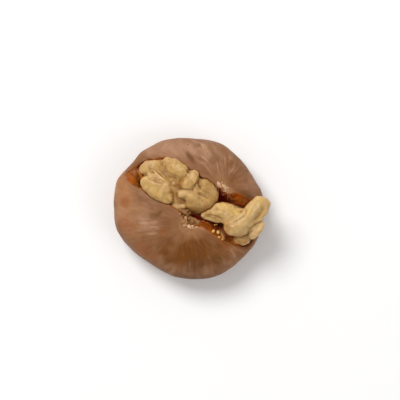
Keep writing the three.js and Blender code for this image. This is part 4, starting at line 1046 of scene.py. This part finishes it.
fig_parts = Parts()
attributes = dict(skin=fig["skin"], rib=np.column_stack([fig["rib"], fig["run"] * 0.012]), amber=amber, warm=warm, ruddy=ruddy,
                  olive=olive, brush=brush, frost=frost, shade=shade, tanned=tanned, pinkish=pinkish, crust=crust,
                  stem=fig["stem"], deep=deep, ochre=ochre, orange=orange, pale=pale, dark=dark, near_nut=near_nut,
                  scaly=scaly, tone=np.zeros(len(co)))
fig_parts.add(co, [], 0, **attributes)
inner = W[fig["quads"]].max(1) < LIP - 0.15
for faces, slot in ((fig["quads"][~inner], 0), (fig["caps"][:AROUND], 4), (fig["caps"][AROUND:], 0), (fig["quads"][inner], 4)):
    fig_parts.faces.append(faces)
    fig_parts.mats.append(np.full(len(faces), slot))


def surface_at(x, y, mask, reach=0.4):
    """the highest point of the fruit within reach of (x, y) on the plan"""
    index = np.flatnonzero(mask)
    d = np.hypot(co[index, 0] - x, co[index, 1] - y)
    near = index[d < max(reach, d.min() + 0.02)]
    return int(near[np.argmax(co[near, 2])])


def tube(points, radii, sides=6):
    points = np.asarray(points, float)
    n = len(points)
    t = np.gradient(points, axis=0)
    t /= np.linalg.norm(t, axis=1, keepdims=True)
    v = []
    for p, d, r in zip(points, t, radii):
        f = frame_of(d)
        for k in range(sides):
            a = 2 * math.pi * k / sides
            v.append(p + r * (math.cos(a) * f[1] + math.sin(a) * f[2]))
    v += [points[0], points[-1]]
    quads = [[i * sides + k, i * sides + (k + 1) % sides, (i + 1) * sides + (k + 1) % sides, (i + 1) * sides + k]
             for i in range(n - 1) for k in range(sides)]
    tris = [[n * sides, (k + 1) % sides, k] for k in range(sides)]
    tris += [[n * sides + 1, (n - 1) * sides + k, (n - 1) * sides + (k + 1) % sides] for k in range(sides)]
    return np.array(v), np.array(quads), np.array(tris)


rng = np.random.default_rng(8)
flesh = (W < LIP - 0.15) & (nuts_near > 0.25) & (co[:, 2] > 6.5)
placed = []


def seed_at(i, size=1.0, lift=0.12, tone=0.5):
    p = co[i] + nor[i] * lift
    if any(np.linalg.norm(p - q) < 0.75 for q in placed):
        return
    placed.append(p)
    spin = rng.normal(size=3)
    spin -= nor[i] * (spin @ nor[i]) * 0.8
    v, f = blob(p, np.array([0.58, 0.44, 0.36]) * size, spin, 2, 0.10, len(placed))
    fig_parts.add(v, [f], 1, tone=tone)


for x, y, size, tone in ((8.45, -8.47, 1.25, 1.0), (10.13, -8.54, 1.30, 0.7), (10.60, -10.44, 1.15, 0.3), (9.54, -5.85, 1.00, 0.9), (11.66, -11.39, 0.80, 0.3)):
    seed_at(surface_at(x, y, flesh), size, 0.22, tone)
open_flesh = np.flatnonzero(flesh & (nuts_near > 0.55) & (arc < -0.8) & (co[:, 0] > -1.0) & (co[:, 1] < -3.0) & (dark < 0.3))
for i in rng.choice(open_flesh, 200, replace=False):
    if len(placed) < 16:
        seed_at(int(i), rng.uniform(0.5, 0.75), rng.uniform(-0.14, 0.0), rng.uniform(0.1, 0.5))

# dry scales: a thin crust on the two halves of the eye, and crumbs behind the low half
def scale(x, y, size, shape, towards, tone, mask, lift=0.10, level=1):
    i = surface_at(x, y, mask, 0.3)
    if np.hypot(co[i, 0] - x, co[i, 1] - y) > 0.6:
        return
    v, f = blob(co[i] + nor[i] * lift, np.array(shape) * size, towards, level, 0.45, int(rng.integers(40, 900)))
    fig_parts.add(v, [f], 2, tone=tone)


rim_zone = (W > LIP - 2.2) & (W < WIDEST)
for x, y, along, across, turn, tone, side in (
    (-2.92, 0.57, 0.6, 0.45, 70, 0.5, 0),
    (-2.19, -1.69, 0.6, 0.45, 80, 0.3, 1),
    (-1.61, -3.30, 0.85, 0.5, 75, 0.55, 0),
    (-1.61, -4.72, 0.9, 0.6, 70, 0.7, 0),
    (-1.83, -6.07, 0.8, 0.6, 10, 0.45, 0),
    (-0.52, -6.28, 0.85, 0.62, -50, 1, 0),
    (0.87, -6.36, 0.75, 0.5, 20, 1, 0),
    (2.33, -6.58, 0.8, 0.5, -10, 0.45, 0),
    (1.09, -4.17, 1.35, 0.85, -15, 0.15, 1),
    (2.47, -4.75, 1.1, 0.8, -30, 0.15, 1),
    (-0.37, -3.59, 0.8, 0.6, 40, 0.1, 1),
    (-1.10, -0.89, 0.8, 0.55, 30, 0.12, 1),
    (-0.23, -1.62, 0.6, 0.5, 0, 0.1, 1),
    (3.27, -1.36, 0.3, 0.24, 0, 1, 1),
    (-3.65, -1.84, 0.45, 0.32, 30, 0.4, 0),
    (10.56, 8.88, 1.05, 0.6, -62, 0.95, 0),
    (11.07, 8.00, 0.55, 0.4, -40, 0.8, 0),
    (12.28, 8.37, 0.8, 0.62, -20, 0.85, 0),
    (12.53, 7.49, 0.6, 0.45, -70, 0.7, 0),
    (13.41, 7.64, 0.62, 0.45, -20, 0.9, 0),
    (13.11, 6.62, 0.6, 0.45, -60, 0.6, 0),
    (12.60, 6.18, 0.45, 0.34, 0, 0.75, 0),
    (11.87, 4.80, 0.32, 0.22, 0, 1, 1),
    (11.55, 9.46, 0.6, 0.34, 80, 0.5, 0)):
    i = surface_at(x, y, (W < LIP - 0.2) if side else rim_zone, 0.35)
    a = math.radians(turn)
    d = np.array([math.cos(a), math.sin(a), 0.0])
    d -= nor[i] * (d @ nor[i]) * 0.7
    v, f = blob(co[i] + nor[i] * 0.05, np.array([along, across, 0.30 * across + 0.08]), d, 2, 0.35, int(rng.integers(40, 900)))
    fig_parts.add(v, [f], 2, tone=tone)
for path, count, spread, bright in ((((-2.63, 0.39), (-2.19, -1.44), (-1.90, -3.44), (-1.68, -5.08), (-0.74, -6.36)), 4, 0.45, 0.35),
                                    (((-1.17, -6.07), (-0.01, -6.50), (1.45, -6.58), (2.69, -6.65)), 2, 0.40, 0.50),
                                    (((10.27, 9.32), (10.78, 8.08), (11.95, 8.37), (12.90, 8.00), (13.04, 6.55)), 6, 0.40, 0.65)):
    path = np.array(path)
    for k in range(count):
        t = rng.uniform(0, len(path) - 1)
        i = min(int(t), len(path) - 2)
        p = path[i] + (t - i) * (path[i + 1] - path[i]) + rng.normal(size=2) * spread
        side = path[i + 1] - path[i]
        towards = np.array([side[1], -side[0], 0.0]) / np.linalg.norm(side) * rng.choice([-1, 1]) + rng.normal(size=3) * 0.35
        scale(p[0], p[1], rng.uniform(0.25, 0.5), (1.15, 0.80, 0.34), towards, np.clip(rng.normal(bright, 0.22), 0.05, 1.0), rim_zone, 0.04)
for k in range(10):
    a, r = rng.uniform(0, 2 * math.pi), math.sqrt(rng.uniform(0.0, 1.0))
    if k < 7:
        x, y = 0.5 + 2.9 * r * math.cos(a), -4.6 + 1.9 * r * math.sin(a)
    else:
        x, y = -2.6 + 1.5 * r * math.cos(a), -1.2 + 2.0 * r * math.sin(a)
    if np.hypot((x - 2.1) / 2.4, (y + 3.2) / 1.2) < 0.95:
        continue
    towards = np.array([2.2 - x, -3.2 - y, rng.uniform(0.1, 0.6)]) + rng.normal(size=3) * 0.4
    scale(x, y, rng.uniform(0.6, 1.0), (1.3, 0.9, 0.34), towards, rng.uniform(0.0, 0.25), W < LIP + 0.6, 0.02, 2)

# torn strands that hang from the cut edge beside the eye
edge_row = np.flatnonzero(np.abs(W - (LIP - 0.4)) < 0.12)
for k in range(58):
    if k < 34:
        x, y = rng.uniform(10.2, 14.4), rng.uniform(4.4, 8.6)
    else:
        x, y = rng.uniform(-1.0, 9.0), rng.uniform(-10.0, -4.6)
    i = edge_row[np.argmin(np.hypot(co[edge_row, 0] - x, co[edge_row, 1] - y))]
    p = co[i] - nor[i] * 0.1
    d = np.array([nor[i][0], nor[i][1], 0.0])
    d /= max(np.linalg.norm(d), 1e-6)
    d = d * rng.uniform(0.4, 1.1) + np.array([0, 0, -1.0]) * rng.uniform(0.4, 1.1) + rng.normal(size=3) * 0.3
    length = rng.uniform(0.8, 2.2)
    bend = rng.normal(size=3) * 0.35
    s = np.linspace(0, 1, 6)[:, None]
    path = p + length * s * d / np.linalg.norm(d) + bend * s * s * length
    free = np.minimum(nut_distance(path, LEFT_LOBES), nut_distance(path, RIGHT_LOBES))
    if free.min() < 0.25:
        continue
    v, q, t = tube(path, np.interp(np.linspace(0, 1, 6), [0, 1], [rng.uniform(0.12, 0.24), 0.04]))
    fig_parts.add(v, [q, t], 3)

fig_object = fig_parts.build("dried_fig", [fig_material("fig_skin", 0.15), seed_material(), crust_material(), fibre_material(),
                                           fig_material("fig_pulp", 0.06)])
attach(fig_object, "root")
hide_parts("fig")

def broken_face(p):
    d = np.minimum(chain_distance(p, RIGHT_LOBES["b3_1"]), chain_distance(p, RIGHT_LOBES["b3_2"]))
    d = np.minimum(d, chain_distance(p, RIGHT_LOBES["b3_4"]))
    other = np.minimum(chain_distance(p, RIGHT_LOBES["b1_1"]), chain_distance(p, RIGHT_LOBES["b1_3"]))
    return (1 - smooth(0.1, 0.8, d)) * smooth(-0.1, 0.5, other)


# soft patches of tint on the upper sides, some of them painted highlight and painted shade: x, y, half length, half
# width, turn, strength
TINTS = {
    "walnut_half_left": {
        "gold": [(-6.54, 13.36, 1.99, 1.00, -28, 0.35),
             (-11.52, 16.35, 1.39, 1.00, 0, 0.4),
             (-12.18, 5.89, 2.52, 1.33, -35, 0.5),
             (-7.86, 3.57, 1.06, 1.19, -30, 0.5),
             (-11.02, 6.62, 0.46, 0.86, 0, 0.4),
             (-15.83, 14.52, 1.33, 1.13, 0, 0.35),
             (4.75, 3.24, 1.99, 1.00, -20, 0.25)],
        "glow": [(-4.55, 15.02, 1.99, 1.33, -24, 0.45),
             (-11.45, 11.97, 3.05, 0.30, -43, 0.55),
             (-16.16, 10.91, 1.13, 0.33, -25, 0.6),
             (-10.79, 5.89, 0.80, 1.33, 0, 0.5),
             (-14.17, 13.69, 0.66, 0.60, 0, 0.5),
             (-9.59, 15.85, 0.40, 1.66, 0, 0.35),
             (0.76, 12.20, 0.86, 1.13, 10, 0.35),
             (-1.06, 12.20, 0.40, 0.46, 0, 0.5),
             (-0.23, 4.90, 1.33, 0.66, -20, 0.35),
             (4.25, 4.24, 1.33, 0.53, -25, 0.3)],
        "umber": [(-2.75, 7.09, 1.66, 0.58, -4, 0.6),
             (-9.03, 12.93, 2.16, 0.41, -42, 0.45),
             (-6.54, 11.34, 2.07, 0.50, -22, 0.45),
             (-16.99, 12.17, 1.58, 0.37, 0, 0.8),
             (-1.16, 13.36, 0.37, 1.33, 0, 0.4),
             (-1.89, 11.60, 1.33, 0.37, 51, 0.45),
             (1.83, 9.01, 1.99, 0.33, 51, 0.75),
             (-4.81, 5.23, 0.37, 1.41, 0, 0.6),
             (-3.38, 3.17, 1.91, 0.37, -40, 0.6),
             (4.81, 5.30, 3.07, 0.25, -22, 0.5),
             (-6.40, 4.57, 0.37, 1.83, 0, 0.45),
             (-7.13, 2.38, 0.37, 1.00, -20, 0.5),
             (-1.89, 7.06, 1.91, 0.41, -4, 0.85),
             (-4.94, 4.07, 0.58, 1.33, 10, 0.6),
             (-7.93, 11.97, 1.99, 0.37, -35, 0.55),
             (-12.68, 9.71, 3.24, 0.25, -19, 0.5),
             (3.68, 10.97, 0.91, 0.46, -30, 0.7),
             (1.43, -1.07, 2.49, 0.58, 8, 0.5)],
        "pink": [(-14.17, 15.85, 0.73, 1.59, 10, 0.55),
             (-12.84, 11.80, 2.12, 0.86, -32, 0.5),
             (-3.05, 5.63, 1.66, 1.13, 0, 0.5),
             (0.76, 12.53, 1.26, 1.53, 0, 0.4),
             (2.42, 8.82, 1.13, 0.80, 60, 0.45),
             (-8.20, 7.22, 1.19, 1.46, 0, 0.4),
             (-4.88, 0.92, 1.99, 1.13, -10, 0.7),
             (-0.90, 12.20, 0.60, 1.33, 0, 0.4)],
        "green": [(-15.00, 8.72, 1.73, 1.00, -30, 0.6),
             (5.24, 9.71, 1.06, 0.86, 0, 0.6),
             (-13.34, 6.39, 1.00, 0.66, 0, 0.35),
             (7.24, 4.07, 1.53, 0.73, -28, 0.35),
             (-11.35, 8.05, 0.66, 0.40, -20, 0.4)],
        "brown": [(-5.64, 6.72, 1.39, 1.06, 0, 0.35),
             (-12.18, 10.47, 2.39, 0.86, -38, 0.5),
             (-3.88, 2.18, 1.66, 1.26, 0, 0.65),
             (-6.37, 12.03, 1.99, 0.60, -30, 0.55),
             (-12.78, 10.97, 2.19, 0.50, -22, 0.5),
             (-10.85, 12.33, 2.65, 0.23, -43, 0.45),
             (-8.26, 3.11, 1.19, 0.66, -30, 0.55),
             (7.60, 9.05, 1.86, 0.50, -52, 0.55),
             (5.48, 5.89, 1.99, 0.43, -25, 0.45),
             (4.91, -0.41, 3.98, 0.73, 13, 0.6),
             (-3.38, 9.88, 1.39, 1.59, 0, 0.8),
             (-18.42, 14.86, 0.40, 1.53, 0, 0.4),
             (-16.00, 17.18, 1.00, 0.37, 30, 0.4),
             (-4.88, 8.15, 2.46, 0.86, -12, 0.75),
             (-5.87, 5.56, 1.13, 2.32, 10, 0.45),
             (-9.52, 14.19, 0.53, 1.99, -12, 0.3),
             (0.10, 6.96, 1.99, 0.46, -10, 0.5),
             (2.42, -0.41, 4.98, 1.19, -8, 0.6),
             (8.73, 3.24, 1.00, 1.99, 20, 0.4),
             (-16.49, 12.07, 1.66, 0.46, -10, 0.5),
             (-1.89, 11.80, 0.66, 1.19, -30, 0.4),
             (2.76, 7.06, 0.86, 0.66, 0, 0.3)],},
    "walnut_half_right": {
        "glow": [(7.11, -3.90, 2.72, 0.42, -14, 0.55),
             (23.52, -0.27, 3.94, 0.85, 56, 0.75),
             (12.56, -1.85, 1.03, 0.67, -30, 0.55),
             (14.20, -2.81, 0.91, 0.61, 0, 0.4),
             (8.78, 0.15, 0.54, 0.54, 0, 0.5),
             (24.97, -7.48, 2.00, 0.61, 52, 0.5),
             (27.33, -2.33, 1.82, 0.36, 68, 0.35),
             (19.83, -5.36, 1.82, 0.73, 30, 0.25)],
        "umber": [(20.67, -10.68, 1.66, 1.14, 0, 0.55),
             (24.52, -5.24, 2.19, 0.26, 26, 0.6),
             (22.19, -6.63, 1.74, 0.30, 45, 0.6),
             (17.86, -10.59, 3.18, 0.26, 0, 0.5),
             (20.95, -9.14, 2.04, 0.53, 66, 0.85),
             (21.58, -11.29, 0.61, 1.29, 0, 0.85),
             (17.25, -3.90, 3.18, 0.23, 31, 0.45),
             (16.19, -10.75, 0.98, 0.30, -20, 0.4),
             (7.41, -3.09, 2.88, 0.23, -14, 0.45)],
        "gold": [(6.32, -1.97, 1.57, 0.73, -8, 0.45),
             (11.96, 0.70, 2.72, 1.33, -10, 0.75),
             (15.89, -0.82, 2.42, 1.82, -10, 0.75),
             (14.98, -2.94, 1.82, 1.21, 0, 0.6),
             (21.34, -1.72, 1.21, 3.33, -35, 0.5),
             (25.28, 2.82, 1.82, 1.82, 0, 0.6),
             (18.92, -5.96, 1.82, 1.21, 0, 0.3)],
        "pink": [(12.56, -1.78, 1.21, 0.73, -30, 0.9),
             (8.78, 0.24, 0.61, 0.67, 0, 0.8),
             (14.07, -2.33, 0.91, 0.54, 0, 0.7),
             (16.19, 1.00, 2.12, 0.42, -16, 0.6),
             (18.92, -0.51, 0.91, 0.91, 0, 0.5),
             (23.76, -8.38, 2.72, 1.33, -125, 0.7),
             (17.10, -4.75, 1.82, 0.91, 10, 0.5),
             (6.81, -2.94, 1.82, 0.54, -20, 0.4),
             (27.39, -0.21, 0.67, 2.72, 8, 0.4)],
        "green": [(25.88, -0.21, 0.79, 3.33, 12, 0.6),
             (24.37, -3.54, 1.03, 2.12, -25, 0.55),
             (22.85, -5.96, 1.51, 0.79, -40, 0.4),
             (20.73, -6.57, 1.21, 1.21, 0, 0.3),
             (24.37, -7.78, 0.73, 0.73, 0, 0.3)],
        "brown": [(13.62, -6.87, 1.33, 2.30, 10, 0.7),
             (9.08, -0.27, 0.91, 0.91, 0, 0.4),
             (6.05, -2.09, 2.54, 1.15, -8, 0.6),
             (25.46, -1.42, 2.54, 0.45, 59, 0.55),
             (17.40, -3.90, 2.79, 0.42, 31, 0.5),
             (18.92, -11.77, 2.54, 1.57, 0, 0.5),
             (9.53, -4.15, 1.82, 0.48, -10, 0.5),
             (11.65, -3.84, 0.67, 0.91, 0, 0.3),
             (21.04, -7.78, 0.73, 1.51, -30, 0.5),
             (16.50, -9.60, 2.72, 0.73, 5, 0.35),
             (18.92, -11.41, 2.72, 1.21, 0, 0.35),
             (23.76, -5.81, 2.12, 0.30, -35, 0.5),
             (14.68, -5.66, 2.72, 0.36, 10, 0.4)],},
}


def tint(p, rows, seed):
    out = np.zeros(len(p))
    for x, y, rx, ry, turn, strength in rows:
        a = math.radians(turn)
        dx, dy = p[:, 0] - x, p[:, 1] - y
        u, v = dx * math.cos(a) + dy * math.sin(a), -dx * math.sin(a) + dy * math.cos(a)
        r = np.sqrt((u / rx) ** 2 + (v / ry) ** 2) + 0.3 * noise(p * 0.55, seed)
        out = np.maximum(out, strength * (1 - smooth(0.35, 1.15, r)))
    return out


# the four colours: light and mid tones, low for the tan and the painted shade of the hollows, deep for the painted
# shade of the creases
for name, node, lobes, lines, seed, crumbly, colours in (
        ("walnut_piece_left", "walnut_half_left", LEFT_LOBES, LEFT_LINES, 71, None,
         ((210, 170, 108), (194, 153, 92), (168, 121, 64), (134, 88, 38))),
        ("walnut_piece_right", "walnut_half_right", RIGHT_LOBES, RIGHT_LINES, 91, broken_face,
         ((220, 186, 128), (206, 168, 108), (178, 134, 78), (146, 98, 46)))):
    nut = make_nut(lobes, lines, seed, 0.24, crumbly)
    p = nut["co"]
    tan = np.zeros(len(p))
    cream = np.zeros(len(p))
    for part, chain in lobes.items():
        w = 1 - smooth(0.0, 0.9, chain_distance(p, chain))
        if part in TAN_AND_SHADE_LOBES:
            tan = np.maximum(tan, w * TAN_AND_SHADE_LOBES[part])
        if part in CREAM_LOBES:
            cream = np.maximum(cream, w * CREAM_LOBES[part])
    parts = Parts()
    # edge: painted light, brighter orange on the steep sides to lift their shade
    lean = 1 - np.clip(vertex_normals(p, nut["quads"])[:, 2], 0, 1)
    parts.add(p, [nut["quads"]], 0, edge=0.70 * smooth(0.35, 0.90, lean), hollow=0.55 * smooth(0.30, 0.95, nut["hollow"]), crest=nut["crest"], crease=0.9 * nut["crease"],
              vein=nut["vein"], chip=0.0 * nut["chip"], tan=tan, cream=cream,
              **{key: tint(p, TINTS[node][key], seed + 3) for key in ("gold", "pink", "green", "brown", "glow", "umber")})
    o = parts.build(name, [nut_material(name + "_skin", *colours)])
    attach(o, "root")
    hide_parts(node)

# --------------------------------------------------------------- floor, light
bpy.ops.mesh.primitive_plane_add(size=4.0, location=(0, 0, -0.0002))
floor = bpy.context.object
floor.name = "floor"
paper = Mat("floor_white")
paper.p.inputs["Base Color"].default_value = (0.93, 0.93, 0.93, 1)
paper.p.inputs["Roughness"].default_value = 0.9
paper.p.inputs["Specular IOR Level"].default_value = 0.0
floor.data.materials.append(paper.m)

world = bpy.data.worlds.new("studio")
bpy.context.scene.world = world
world.use_nodes = True
world.node_tree.nodes["Background"].inputs[0].default_value = (1.0, 0.99, 0.975, 1)
world.node_tree.nodes["Background"].inputs[1].default_value = 0.50


def soft_box(name, place, size, watts):
    data = bpy.data.lights.new(name, "AREA")
    data.shape = "DISK"
    data.size = size
    data.energy = watts
    o = bpy.data.objects.new(name, data)
    bpy.context.scene.collection.objects.link(o)
    o.location = place
    o.rotation_mode = "QUATERNION"
    from mathutils import Vector
    o.rotation_quaternion = (Vector((0, 0, 0.015)) - Vector(place)).to_track_quat("-Z", "Y")
    return o


soft_box("key", (-0.42, 0.55, 0.95), 0.55, 9.4)
soft_box("fill", (0.75, -0.35, 0.8), 0.7, 1.9)

camera_data = bpy.data.cameras.new("camera")
camera = bpy.data.objects.new("camera", camera_data)
bpy.context.scene.collection.objects.link(camera)
camera.location = (0.00342, 0.00312, 0.615)
camera.rotation_euler = (0, 0, 0)
camera_data.sensor_width = 36.0
camera_data.lens = 146.8
camera_data.clip_start = 0.01
bpy.context.scene.camera = camera
bpy.context.scene.view_settings.view_transform = "Standard"
